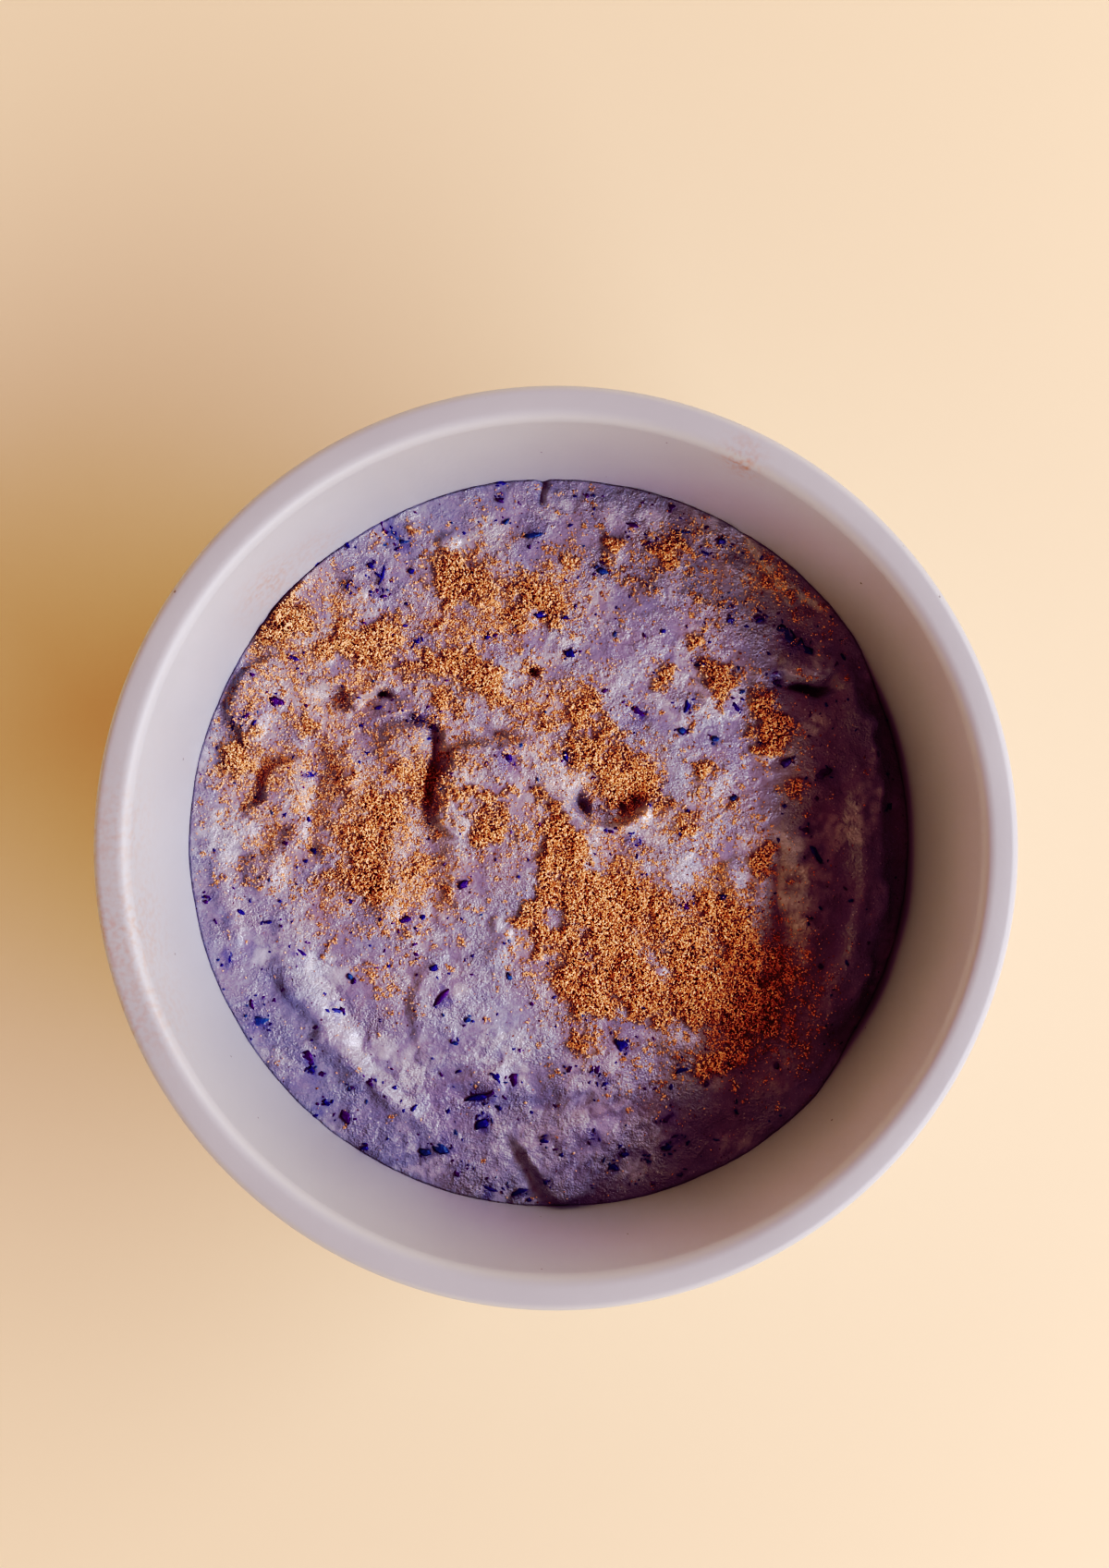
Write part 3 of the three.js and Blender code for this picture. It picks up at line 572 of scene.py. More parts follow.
# Where cinnamon fell from the shaker: place, radius, and how thickly it lies, from 0 to 1.
DUSTING = [
    # the heaps and streaks along the top
    (-18.3, 51.1, 3.1, 1), (-20.8, 46.6, 3.4, 0.9), (-14.6, 46, 3, 0.8), (-10.6, 46.6, 3, 0.7),
    (-5.5, 45.5, 3, 0.8), (-2, 46.9, 2, 0.7), (-6.6, 42, 2.8, 1), (0.2, 42, 2.3, 0.9),
    (-20.3, 39.5, 1.6, 0.8), (-25.9, 57.7, 1.1, 0.9), (-33.6, 55.1, 1.4, 0.81), (3, 51.1, 2, 1),
    (10.8, 54.4, 1.8, 0.95), (11.6, 50.3, 2.6, 0.5), (8.9, 58.3, 1.3, 0.8), (-8.3, 55.7, 1, 0.7),
    (21, 52.8, 3, 0.95), (21.8, 54.6, 2, 0.8), (26.9, 44.3, 1.4, 0.95), (29.2, 40.6, 1, 0.9),
    (25.5, 48.9, 0.8, 0.7), (26.1, 37, 1.8, 0.9), (15, 46, 3, 0.35), (19.5, 44.5, 3, 0.35),
    (11, 39.8, 2, 0.35), (40.6, 48.9, 2, 0.9), (44, 52, 5, 0.45), (50, 45, 4, 0.5),
    # the band against the wall on the left and what lies inside it
    (-47, 47.7, 1.5, 0.68), (-49.2, 44, 3.4, 0.77), (-51.5, 40.6, 4, 0.81), (-54, 37.6, 2.5, 0.68),
    (-45.3, 41, 2.6, 0.59), (-42.4, 35.8, 3, 0.68), (-38.4, 37, 3, 0.68), (-34.5, 37.5, 3, 0.72),
    (-31, 38.6, 2.8, 0.77), (-30.5, 35.2, 2.6, 0.72), (-33.9, 34.7, 2.5, 0.59), (-28.2, 30.1, 2.5, 0.51),
    (-21.4, 31.8, 3, 0.8), (-16.8, 33, 3.4, 0.95), (-11.7, 29, 2.8, 0.9), (-3.8, 31.8, 2.4, 0.9),
    (-17.4, 25, 3, 0.65), (-20, 25.6, 2.5, 0.6), (-8.3, 23.9, 2.6, 0.6), (-0.9, 22.2, 3, 0.7),
    (1.3, 27.3, 2.2, 0.7), (-59.2, 15.3, 2.8, 0.8), (-57.2, 13.1, 2.5, 0.64), (-55.5, 19.3, 2, 0.76),
    (-56, 25.6, 1.4, 0.6), (-52.6, 23.9, 1, 0.4), (-45.8, 21.4, 2.6, 0.85), (-41.8, 15.9, 1.6, 0.72),
    (-61.7, 7.4, 1.6, 0.72), (-65.7, 7.4, 1.3, 0.56),
    # the trough and the patches beside it
    (-37.3, 11.9, 2, 0.4), (-33.3, 18.2, 1.5, 0.4), (-35.6, 7.4, 3, 0.68), (-34.5, 3, 3.5, 0.8),
    (-38, 2.8, 2.5, 0.64), (-29.3, 9.7, 3, 0.64), (-25.4, 11.9, 3.5, 0.68), (-23.4, 15.9, 2.6, 0.64),
    (-24.8, 7.6, 2.6, 0.56), (-31, 5.8, 2.2, 0.48), (-33.9, -0.6, 3.6, 0.8), (-34.5, -6, 3.6, 0.8),
    (-31.6, -8, 2.4, 0.64), (-41.8, -6.3, 2.6, 0.64), (-38.4, -5.7, 2.4, 0.64), (-25.5, -5.6, 2.6, 0.8),
    (-19.7, -6.3, 2.4, 0.76), (-19.7, -9.7, 2.4, 0.76), (-19.7, -12.5, 1.6, 0.64), (-17.4, 14.8, 1.8, 0.85),
    (-19.7, 11.9, 2, 0.48), (-20.2, 6.8, 2, 0.56), (-14.6, 7.4, 2.2, 0.8), (-13.4, 2.8, 3, 0.95),
    (-8.9, 11.4, 4, 0.34), (-15, 11, 3.4, 0.3), (-4, 8, 4.4, 0.3), (-10, 5, 4, 0.34), (-4, 14, 4, 0.24),
    (-19.1, 2.8, 2, 0.48), (-53.2, -5.7, 1, 0.56), (-62, -8, 0.9, 0.56),
    # round the hollow in the middle
    (7.3, 25.8, 2.5, 0.95), (4.7, 20.5, 2.5, 0.85), (3.6, 17.6, 3, 0.9), (9.3, 17, 4, 0.95),
    (12.7, 11.9, 4, 0.95), (16.1, 12.5, 3.2, 0.9), (14.4, 9.4, 3, 0.85), (0.8, 2.3, 3, 0.95),
    (19.5, 8, 2.2, 0.6),
    # the loose spots on the right
    (19.5, 30.1, 2.2, 0.95), (30.3, 31, 2.6, 0.9), (30, 26.4, 2, 1), (32.6, 29, 1.8, 0.7),
    (26.9, 33, 1, 0.6), (15, 26.1, 0.8, 0.6), (25.8, 21.6, 0.9, 0.8), (38.6, 24.7, 2.4, 1),
    (40.6, 19.9, 3, 0.95), (39.7, 16.8, 1.8, 1), (44, 9.9, 1.4, 0.9), (28, 12.5, 2.5, 0.95),
    (35.4, 19.9, 1.2, 0.5), (33.2, 6.8, 1.7, 0.85), (24.6, 3.4, 2.7, 0.95),
    # the main drift
    (2.5, -1.2, 3, 1), (-0.9, -1.2, 2.5, 0.9), (-13.4, 1.1, 2, 0.8), (1.3, -5.1, 3.5, 1),
    (4.7, -9.1, 3, 0.95), (-0.9, -9.7, 2.5, 0.8), (-5.5, -14.8, 2.4, 0.8), (8.2, -9.1, 3.5, 1),
    (11.6, -7.6, 3.5, 0.9), (19.5, -10.3, 3, 0.7), (16.1, -12, 3, 0.8), (25.8, -1.2, 2.2, 0.85),
    (30.3, -4.3, 2, 0.7), (32, 0, 2, 0.6), (38.3, -3.2, 3, 1), (34.3, -12, 2.5, 0.7),
    (31.5, -11.4, 2.4, 0.85), (27.5, -12, 2.2, 0.55), (3.6, -16.5, 3.2, 0.9), (-0.9, -17.6, 3, 0.8),
    (15, -17.6, 4, 1), (19.5, -17.6, 4, 0.9), (26.4, -17.6, 4, 0.95), (32, -18.2, 3, 0.85),
    (36, -16.5, 2, 0.6), (5.9, -20.5, 4, 0.95), (11.6, -22.6, 4, 1), (4.7, -25.6, 3.2, 0.9),
    (15, -26.2, 4, 1), (19.5, -25.4, 4, 1), (23.6, -22.6, 4, 1), (28.6, -23.3, 4, 1), (33.2, -23.3, 4, 1),
    (37.7, -22.2, 3.5, 1), (40, -25, 2.6, 0.9), (37.1, -27.6, 3.5, 1), (31, -28.6, 3.5, 0.95),
    (33.2, -31, 3, 0.85), (38, -32, 3, 0.85), (34.3, -34.1, 3, 0.8), (20.1, -30.2, 3, 0.8),
    (26, -29.6, 3.4, 0.85), (26, -32.2, 2.6, 0.6), (3.1, -27.3, 2.6, 0.8), (6.9, -29, 2.5, 0.85),
    (11, -30, 2.6, 0.8), (15.4, -30.6, 2.6, 0.8), (-4, -20, 2, 0.5), (10, -14, 4, 0.95),
    (-3.4, -12, 2.4, 0.75),
    # the last spots below it
    (31.5, -39.5, 2, 0.95), (28.6, -40.6, 1.8, 0.8), (26.2, -41.6, 1.8, 0.7), (46.2, -37, 2, 0.5),
    (4.7, -36.4, 1.4, 0.95), (6.5, -38.4, 1, 0.8), (0.8, -48, 0.9, 0.8), (15, -41.2, 1.3, 0.9),
    (19.8, -43.8, 1, 0.7), (13.9, -48.3, 0.8, 0.9), (18.7, -48.6, 0.7, 0.8), (33.7, -44.3, 1.2, 0.6),
    (38.3, -44.9, 1.2, 0.5), (-26.5, -17.9, 1.1, 0.76), (-39, -17.4, 1.5, 0.56), (-41.3, -18.8, 1.2, 0.48),
    (-33.9, -22.5, 1.1, 0.8), (-28.8, -28.7, 0.8, 0.8), (-25.6, -31, 0.7, 0.7), (-17.4, -19.1, 0.9, 0.7),
]
# Where the finest dust drifted and turned the porridge brown: place, radius, strength.
HAZE = [
    (-52, 4, 12, 0.9), (-56, 20, 9, 0.7), (-44, 36, 14, 0.7), (-30, 31, 12, 0.6), (-33, 2, 14, 0.65),
    (-12, 44, 12, 0.6), (5, 49, 9, 0.5), (34, 50, 10, 0.4), (46, 44, 9, 0.3), (-1, 26, 11, 0.4),
    (8, 9, 11, 0.35), (30, 4, 10, 0.1), (17, -18, 20, 0.7), (38, -28, 11, 0.75), (-44, -11, 8, 0.35),
    (-28, -11, 9, 0.5), (-31, -27, 7, 0.4), (-20, 16, 10, 0.3), (-46, 14, 10, 0.4),
]
# Where the berries bled into the porridge, and where it is painted darker and bluer as shade: place, radius,
# strength.
BERRY_JUICE_AND_SHADE = [
    # the three broad spots along the bottom, and the three by the right wall, are partly painted shade
    (6, -58, 12, 0.25), (-30, -56, 10, 0.15), (26, -54, 9, 0.2), (-32, 58, 2.4, 0.2), (-28.5, 55, 2, 0.2),
    (47, 37, 4, 0.15), (50, 31, 4, 0.12), (-52, 24, 2.2, 0.3), (-55, -34, 3, 0.25), (-47, -42, 3.4, 0.2),
    (15, 23, 2, 0.2), (-37, 38, 2.4, 0.15), (-8, 20, 3, 0.17), (-20, -48, 4, 0.17), (-56, -20, 2, 0.2),
    (-45, 22, 3, 0.1), (8, -41, 3, 0.15), (12, -36, 3, 0.12), (-2, 66, 3, 0.15), (45, -10, 4, 0.17),
    (54, -14, 5, 0.15), (56, 8, 6, 0.12), (-26, -16, 2.4, 0.17),
]
# Painted sheen: where the spoon's back pressed it smooth and moist, its colour is painted paler to stand for
# the shine: place, radius, strength.
PAINTED_SHEEN = [
    (-47, -22, 2.6, 0.6), (-44.6, -27, 2.8, 0.7), (-41, -31.6, 2.6, 0.7), (-38, -36, 2.4, 0.7),
    (-35.4, -40, 2.4, 0.8), (-32.4, -43, 2, 0.8), (-30, -45.6, 2.2, 0.9), (-27.6, -47.6, 2, 0.9),
    (-25, -50, 2, 0.9), (-22.4, -52.6, 1.9, 0.8),
    (-23, -27, 2.6, 0.6), (-24, -32, 2.4, 0.7), (-18, -33, 3.4, 0.5), (-11, -31, 4, 0.5), (-5, -36, 4, 0.5),
    (-54, 27, 3, 0.5), (-57, 22, 2.4, 0.5), (19, 5, 4, 0.6), (22, 12, 3, 0.5), (24, 24, 4, 0.4),
]
# The scraps of berry skin that show most: place, length, width, turn in degrees.
SKINS = [
    (-31.9, 59.3, 4.2, 1.3, -75), (-30.2, 56.6, 3.2, 1.3, -50), (-10.2, 66, 2.6, 1.2, 10),
    (-10, 62.9, 1.8, 1, -30), (-4.2, 56.6, 3.8, 1.5, 10), (-44.2, 51.4, 1.6, 1.4, 0),
    (-38.4, 54.6, 1.6, 0.9, -50), (-32, 49.3, 3.2, 1, 80), (-33, 45.4, 2.4, 1.3, -60),
    (-38, 47.2, 2.2, 1, 50), (-25.8, 37.4, 1.8, 1.6, 0), (-48.4, 33.6, 2.6, 1, -15),
    (-51.3, 25.6, 2.6, 2.2, 20), (-59.2, 22, 2.2, 1, 70), (-25.3, 22.8, 3.4, 1, -20),
    (-22.6, 21.6, 2.4, 1, -50), (-9, 15.6, 3.4, 1.2, -40), (2, 15.6, 2, 0.9, -70),
    (2.6, 34.8, 2.4, 1.8, -40), (-2.8, 42, 2.6, 1.1, 15), (15.2, 24, 2.8, 1.7, -35), (24, 25, 3, 1.2, 75),
    (23.2, 20.6, 1.5, 1.3, 0), (29.2, 19, 1.3, 1.2, 0), (27, 33, 2.4, 0.9, 10), (33, 25, 1.8, 0.9, -50),
    (31.6, 43.4, 2.2, 1.3, -30), (37.8, 41.1, 1.6, 1.2, 0), (42.8, 38.4, 4.6, 3.6, -50),
    (45.6, 35.8, 3.6, 2.6, -35), (41, 31.2, 2.4, 0.8, 5), (41.2, 29.6, 1.4, 1, 0),
    (27.6, 53.6, 2.2, 0.9, -25), (23, 57.4, 3.2, 0.9, 5), (14, 58.5, 2.4, 0.9, -20),
    (30.6, 55.5, 1.4, 1, 0), (8.6, 50, 2, 1.2, -20), (49.4, 12.6, 2.6, 2, 20), (46, 2, 2, 1.6, 0),
    (18.4, 9, 2.2, 0.9, -10), (47.8, -2.2, 3.4, 1.4, -60), (14.8, -0.2, 3, 1.6, 20),
    (24, -11.2, 2.2, 1.8, -30), (13.6, -23.2, 2.2, 1.1, 0), (-20.6, -28.4, 4, 1.5, 50),
    (-16.3, -32.6, 1.3, 1, 0), (-27.5, -14.4, 2.6, 1.3, 10), (-16.8, -7.8, 2.2, 1.4, 30),
    (-10.8, -43.2, 2.1, 1.6, -60), (-7.9, -43.4, 2, 1.5, 80), (-14.6, -47, 4, 1.2, 10),
    (-12.4, -46.4, 2.4, 0.8, 20), (-13.4, -51.8, 2.3, 1.7, 25), (-21, -56.2, 3.6, 1.9, -25),
    (-23.8, -56.8, 2.4, 1.4, 10), (-18, -60.3, 2.4, 1.3, -45), (-12.2, -64.2, 3.4, 1.6, -20),
    (-6.8, -64.4, 2.8, 1.2, 15), (11.8, -37.3, 2.2, 2, 0), (8.8, -44.5, 1.7, 1.1, 25),
    (7, -54, 2.2, 1.4, -20), (21.8, -54.4, 2.1, 1.1, 10), (20.7, -56.1, 2.1, 1.2, 15),
    (16.9, -58.6, 1.8, 1.2, -10), (10.6, -59.8, 1.8, 1.2, 5), (20.6, -50.6, 2.6, 1.3, 40),
    (-54.4, -33, 3, 2.6, -20), (-55.4, -29.6, 2.4, 1, -65), (-45.6, -39.4, 2.8, 1.8, -60),
    (-44.8, -41.6, 1.6, 0.9, -30), (-38.4, -50.2, 2.8, 1.5, -45), (-35.2, -56.2, 1.4, 1.2, 0),
    (-59.8, -21.4, 2.6, 1, -75), (-47, -20.2, 2.8, 1.2, -35), (-64, -9.8, 1.3, 1.1, 0),
    (-45.3, 12.7, 2, 1.4, 30), (-30.2, 38.4, 1.4, 1, 0), (-34, 51, 1.4, 1, 0),
    (-57, 23, 1.8, 1, 60), (-28, 55, 1.8, 1.2, 0), (-37, -45, 1.5, 1, 20), (-42, -47.5, 1.8, 1, -40),
    (-44, -50, 1.3, 0.8, 0), (-34, -44, 1.4, 0.8, -30), (-40, -31, 2.6, 1, -20),
    (-18.6, -37, 1.2, 1, 0), (-2.3, -54.7, 1.4, 1.1, 0), (-9, -63.5, 1.4, 0.9, 0),
    (-1.8, -62.4, 1.3, 1, 30), (23, -42, 2, 0.9, 20), (5, -31.8, 1.2, 0.8, 0),
    (2.5, -41.5, 1.4, 0.8, 60), (7.5, -41.5, 1.6, 1.2, 80), (6, 64, 1.2, 0.8, 40), (21.5, 62, 1.2, 0.9, 0),
    (17, 55.3, 1.8, 0.8, 20), (37.5, 41.5, 1.3, 1, 0), (42.5, 14.5, 2, 1.4, 30),
    (62.8, 6.5, 1.6, 1, 80), (36.5, -12.5, 1.8, 0.8, 60), (-12.5, 38, 1.2, 0.9, 0),
    (-8, 38.5, 1.4, 0.9, 20), (-9, 59, 1.4, 0.8, 30), (12.5, -57.5, 1.2, 0.9, 0),
]

SPOT_REACH = 2.4  # how many times its radius a spot fades out over
DUST_WIDER, DRIFT_WIDER = 1.35, 2.1  # how much wider the cinnamon lies than its spots, and drifts round them
DUST_WEIGHT, CLOT_WEIGHT = 1.05, 0.6
COVER_FROM, COVER_RANGE = 0.36, 0.85  # from where on cinnamon covers the porridge, and how soon wholly
COVER_THIN, COVER_CLOTTED = 0.12, 0.30  # thickness of the cover, and how much more its clots have
DRIFT_SHARE = 0.36  # how much of it drifts round the heaps
BLED_REACH, BLED_STRENGTH = 0.5, 0.65  # juice round a skin: how far, in lengths of the skin, and how strong
# How strong drifts, bled juice and the painted sheen are, before their uneven swelling is added.
DRIFT_EVEN, BLED_EVEN, PAINTED_SHEEN_EVEN = 0.72, 0.75, 0.9
GRAIN_SHARE, GRAIN_CONTRAST = 0.5, 0.9  # how much of the surface large grains swell, and how sharply they end
GRAIN_SEEDS = 3.0, 8.0  # what the places of the large and of the small grains are drawn from


def heaped(table, x, y, wider=1.0):
    """How much of the strewn spots of a table lies at a place, overlapping spots counted once."""
    bare = np.ones(x.shape)
    for cx, cy, radius, strength in table:
        reach = SPOT_REACH * wider * radius
        k = (abs(x - cx) < reach) & (abs(y - cy) < reach)
        apart = ((x[k] - cx) ** 2 + (y[k] - cy) ** 2) / (wider * radius) ** 2
        bare[k] *= 1 - strength * np.exp(-apart)
    return 1 - bare


# The ground: the finished height on a fine grid, which the berry skins and the cinnamon are laid on.
axis = np.arange(-GROUND_HALF, GROUND_HALF + GROUND_STEP / 2, GROUND_STEP)
ground_x, ground_y = np.meshgrid(axis, axis, indexing="ij")
stray_x = ground_x + swells(ground_x, ground_y, STRAY_X)
stray_y = ground_y + swells(ground_x, ground_y, STRAY_Y)
clots = swells(stray_x, stray_y, CLOTS)
dusted = heaped(DUSTING, stray_x, stray_y, DUST_WIDER)
cinnamon_cover = smooth((DUST_WEIGHT * dusted + CLOT_WEIGHT * clots - COVER_FROM) / COVER_RANGE)
drifted = DRIFT_SHARE * heaped(DUSTING, stray_x, stray_y, DRIFT_WIDER) + heaped(HAZE, stray_x, stray_y)
cinnamon_haze = np.clip(drifted * (DRIFT_EVEN + swells(stray_x, stray_y, DRIFTS)), 0, 1)
bled = [(x, y, BLED_REACH * length, BLED_STRENGTH) for x, y, length, width, turn in SKINS]
bled_here = heaped(bled, stray_x, stray_y)
bled_here = bled_here * np.clip(BLED_EVEN + swells(stray_x, stray_y, BLOTCHES), 0, 1)
# Juice round the skins and bled berries, partly painted shade along the bottom and by the right wall.
berry_stain_and_shade = np.clip(heaped(BERRY_JUICE_AND_SHADE, stray_x, stray_y) + bled_here, 0, 1)
# Painted sheen: paler where the pressed, moist surface would shine.
painted_sheen = heaped(PAINTED_SHEEN, stray_x, stray_y)
painted_sheen = painted_sheen * np.clip(PAINTED_SHEEN_EVEN + swells(stray_x, stray_y, SHEEN_LUMPS), 0.2, 1)
grains = granules(stray_x, stray_y, LARGE_GRAIN, GRAIN_SEEDS[0])
grains = grains * smooth(GRAIN_SHARE + GRAIN_CONTRAST * swell(ground_x, ground_y, GRAIN_PATCHES))
ground = height(ground_x, ground_y) + swells(stray_x, stray_y, FINE_RELIEF) + LARGE_GRAIN_RISE * grains
ground += SMALL_GRAIN_RISE * granules(stray_x, stray_y, SMALL_GRAIN, GRAIN_SEEDS[1])
ground += cinnamon_cover * (COVER_THIN + COVER_CLOTTED * np.clip(clots + 0.4, 0, 1))


def laid(layer, x, y):
    """A layer of the ground read at any place."""
    u = np.clip((x + GROUND_HALF) / GROUND_STEP, 0, len(axis) - 1.001)
    v = np.clip((y + GROUND_HALF) / GROUND_STEP, 0, len(axis) - 1.001)
    i, j = u.astype(int), v.astype(int)
    s, t = u - i, v - j
    low = layer[i, j] * (1 - s) + layer[i + 1, j] * s
    high = layer[i, j + 1] * (1 - s) + layer[i + 1, j + 1] * s
    return low * (1 - t) + high * t


# The top: a square grid turned into a disc, then lowered on to the ground and kept inside the wall.
square = np.linspace(-1, 1, TOP_SQUARES + 1)
a, b = np.meshgrid(square, square, indexing="ij")
wide = np.abs(a) > np.abs(b)
safe_a, safe_b = np.where(a == 0, 1, a), np.where(b == 0, 1, b)
radius = np.where(wide, a, b)
angle = np.where(wide, math.pi / 4 * b / safe_a, math.pi / 2 - math.pi / 4 * a / safe_b)
top_radius = (inner_radius(LEVEL * MM) - PORRIDGE_GAP) / MM
top_x, top_y = top_radius * radius * np.cos(angle), top_radius * radius * np.sin(angle)
top_z = laid(ground, top_x, top_y)
limit = (inner_radius(top_z * MM) - PORRIDGE_GAP) / MM
pull = np.minimum(1, limit / np.maximum(np.hypot(top_x, top_y), 1e-9))
top = np.stack([top_x * pull, top_y * pull, top_z], axis=-1).reshape(-1, 3) * MM

count = TOP_SQUARES + 1
index = np.arange(count * count).reshape(count, count)
quads = np.stack([index[:-1, :-1], index[1:, :-1], index[1:, 1:], index[:-1, 1:]], axis=-1).reshape(-1, 4)
rim = np.concatenate([index[:-1, 0], index[-1, :-1], index[:0:-1, -1], index[0, :0:-1]])

# The side and the bottom, down the inside of the bowl and never seen.
around = np.arctan2(top[rim, 1], top[rim, 0])
side_profile = inside_profile(PORRIDGE_GAP, SIDE_TOP, SIDE_STEPS)
side_profile = [p for p in side_profile[::-1] if p[0] > BOTTOM_RADIUS][::RING_EVERY]
rings = [
    np.stack([r * np.cos(around), r * np.sin(around), np.full(len(rim), z)], axis=-1)
    for r, z in side_profile
]
verts = np.concatenate([top, *rings, [[0, 0, side_profile[-1][1]]]])
ring_index = [rim] + [len(top) + k * len(rim) + np.arange(len(rim)) for k in range(len(rings))]
side = [
    np.stack([upper, np.roll(upper, -1), np.roll(lower, -1), lower], axis=-1)
    for upper, lower in zip(ring_index, ring_index[1:])
]
last = ring_index[-1]
faces = [*map(tuple, quads), *map(tuple, np.concatenate(side))]
faces += [(int(p), int(q), len(verts) - 1) for p, q in zip(last, np.roll(last, -1))]
faces = [tuple(int(i) for i in f) for f in faces]
porridge, porridge_mesh = new_piece("porridge_body", verts.tolist(), [], faces)
made_smooth()

stains = {
    "cinnamon": cinnamon_cover,
    "haze": cinnamon_haze,
    "berry": berry_stain_and_shade,
    "grain": grains,
    "painted_sheen": painted_sheen,
}
for name, stain in stains.items():
    remembered(porridge_mesh, name, laid(stain, verts[:, 0] / MM, verts[:, 1] / MM))

LILAC = (0.35, 0.35, 0.45, 1)
LILAC_BLUE = (0.27, 0.27, 0.41, 1)
LILAC_ROSY = (0.365, 0.33, 0.405, 1)
LILAC_PALE = (0.46, 0.465, 0.56, 1)
GRAIN_PALE = (0.66, 0.65, 0.72, 1)
# the colour of the painted sheen
PAINTED_SHEEN_PALE = (0.54, 0.55, 0.66, 1)
BERRY_STAIN = (0.055, 0.04, 0.26, 1)
BRAN_RED = (0.12, 0.02, 0.045, 1)
CINNAMON_HAZE = (0.50, 0.345, 0.265, 1)
# brown soak under the cinnamon, darkened further as painted shade between the grains
CINNAMON_SOAK_AND_SHADE = (0.22, 0.10, 0.055, 1)

cooked, tree, shader, at = material("berry_porridge")
patches = spread(tree, noise(tree, at, scale=75, detail=4), 0.36, 0.64)
blotches = spread(tree, noise(tree, at, scale=260, detail=3), 0.52, 0.68)
lumps = spread(tree, noise(tree, at, scale=520, detail=2), 0.48, 0.72)
pebbles = noise(tree, at, scale=2500, detail=3)
color = mixed(tree, patches, LILAC, LILAC_ROSY)
color = tinted(tree, color, blotches, 0.45, LILAC_BLUE)
color = tinted(tree, color, lumps, 0.45, LILAC_PALE)
color = mixed(tree, spread(tree, field(tree, "grain"), 0.55, 0.95, 0, 0.6), color, GRAIN_PALE)
# Painted sheen: paler along the spoon's ridge and the pressed places, for their moist shine.
sheen_spots = spread(tree, noise(tree, at, scale=1300, detail=3), 0.42, 0.58, 0.25, 0.9)
color = tinted(tree, color, field(tree, "painted_sheen"), sheen_spots, PAINTED_SHEEN_PALE)
color = tinted(tree, color, field(tree, "haze"), 0.66, CINNAMON_HAZE)
color = tinted(tree, color, field(tree, "berry"), 0.85, BERRY_STAIN)
# Near-white specks: pale bits of grain, and painted glints of the wet surface.
pale_bits_and_glints = scattered(tree, at, scale=1500, size=0.22, share=0.22)
color = tinted(tree, color, pale_bits_and_glints, 0.7, GRAIN_PALE)
fine_bran = scattered(tree, at, scale=1100, size=0.17, share=0.10)
coarse_bran = scattered(tree, at, scale=560, size=0.13, share=0.07)
bran = combined(tree, "MAXIMUM", fine_bran, coarse_bran)
color = tinted(tree, color, bran, 0.7, BRAN_RED)
# Under thick cinnamon the porridge is soaked brown, and painted darker still as painted shade between the
# grains.
color = mixed(tree, spread(tree, field(tree, "cinnamon"), 0.15, 0.85, 0, 0.86), color, CINNAMON_SOAK_AND_SHADE)
rough_spots = spread(tree, noise(tree, at, scale=170, detail=3), 0.38, 0.62, 0.25, 1)
wet = spread(tree, pebbles, 0.35, 0.65, 0.10, 0.30)
dry = combined(tree, "MULTIPLY", field(tree, "cinnamon"), 0.4)
coarser = combined(tree, "ADD", pebbles, noise(tree, at, scale=1000, detail=2))
relief = combined(tree, "MULTIPLY", coarser, rough_spots)
finished(tree, shader, color, combined(tree, "ADD", wet, dry), relief, 0.42 * MM)
shader.inputs["Specular IOR Level"].default_value = 0.85
shader.inputs["Subsurface Weight"].default_value = 0.12
shader.inputs["Subsurface Radius"].default_value = (0.0022, 0.0014, 0.0018)
shader.inputs["Subsurface Scale"].default_value = 1.0
porridge_mesh.materials.append(cooked)

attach(porridge, "root")
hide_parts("porridge")


# ----------------------------------------------------------------------
# The berry skins
# Scraps of dark berry skin left whole when the berries were cooked in: thin, crumpled and glossy, each
# half sunk in the porridge. The largest are placed where they show; small ones are stirred in all over.
SKIN_THICKNESS = 0.14
SKIN_RIM = 9  # points round a scrap
SKIN_MIDDLE = 0.55  # where its middle ring lies between the centre and the rim
SKIN_RAGGED = 0.28  # how uneven its rim is
SKIN_RISE = 0.16  # how high its middle lies on the porridge
SKIN_TUCK = 0.12  # how much lower its rim lies
SKIN_CRUMPLE = 0.10
SKIN_FOLD, SKIN_FOLDS = 0.22, 2.2  # how deep a scrap is folded, and how often across its width
STRAY_SKINS, STRAY_TRIES = 420, 6
STRAYS_HIDDEN = 0.85  # share of them that thick cinnamon hides
STRAY_SMALLEST, STRAY_RANGE = 0.5, 0.9
# Crumbs torn off each large scrap: how many, how far from it in lengths of it, and their lengths and widths.
SKIN_CRUMBS, CRUMB_AWAY = 3, (0.45, 0.95)
CRUMB_LENGTHS, CRUMB_WIDTHS = (0.3, 0.9), (0.25, 0.45)
DISC = 66.7  # radius that loose things are strewn over
chance = np.random.default_rng(11)


def strewn(count, keep):
    """Random places on the porridge; keep says how likely each place is to be kept."""
    places = chance.uniform(-DISC, DISC, (count, 2))
    x, y = places.T
    kept = (np.hypot(x, y) < DISC) & (chance.random(count) < keep(x, y))
    return places[kept]


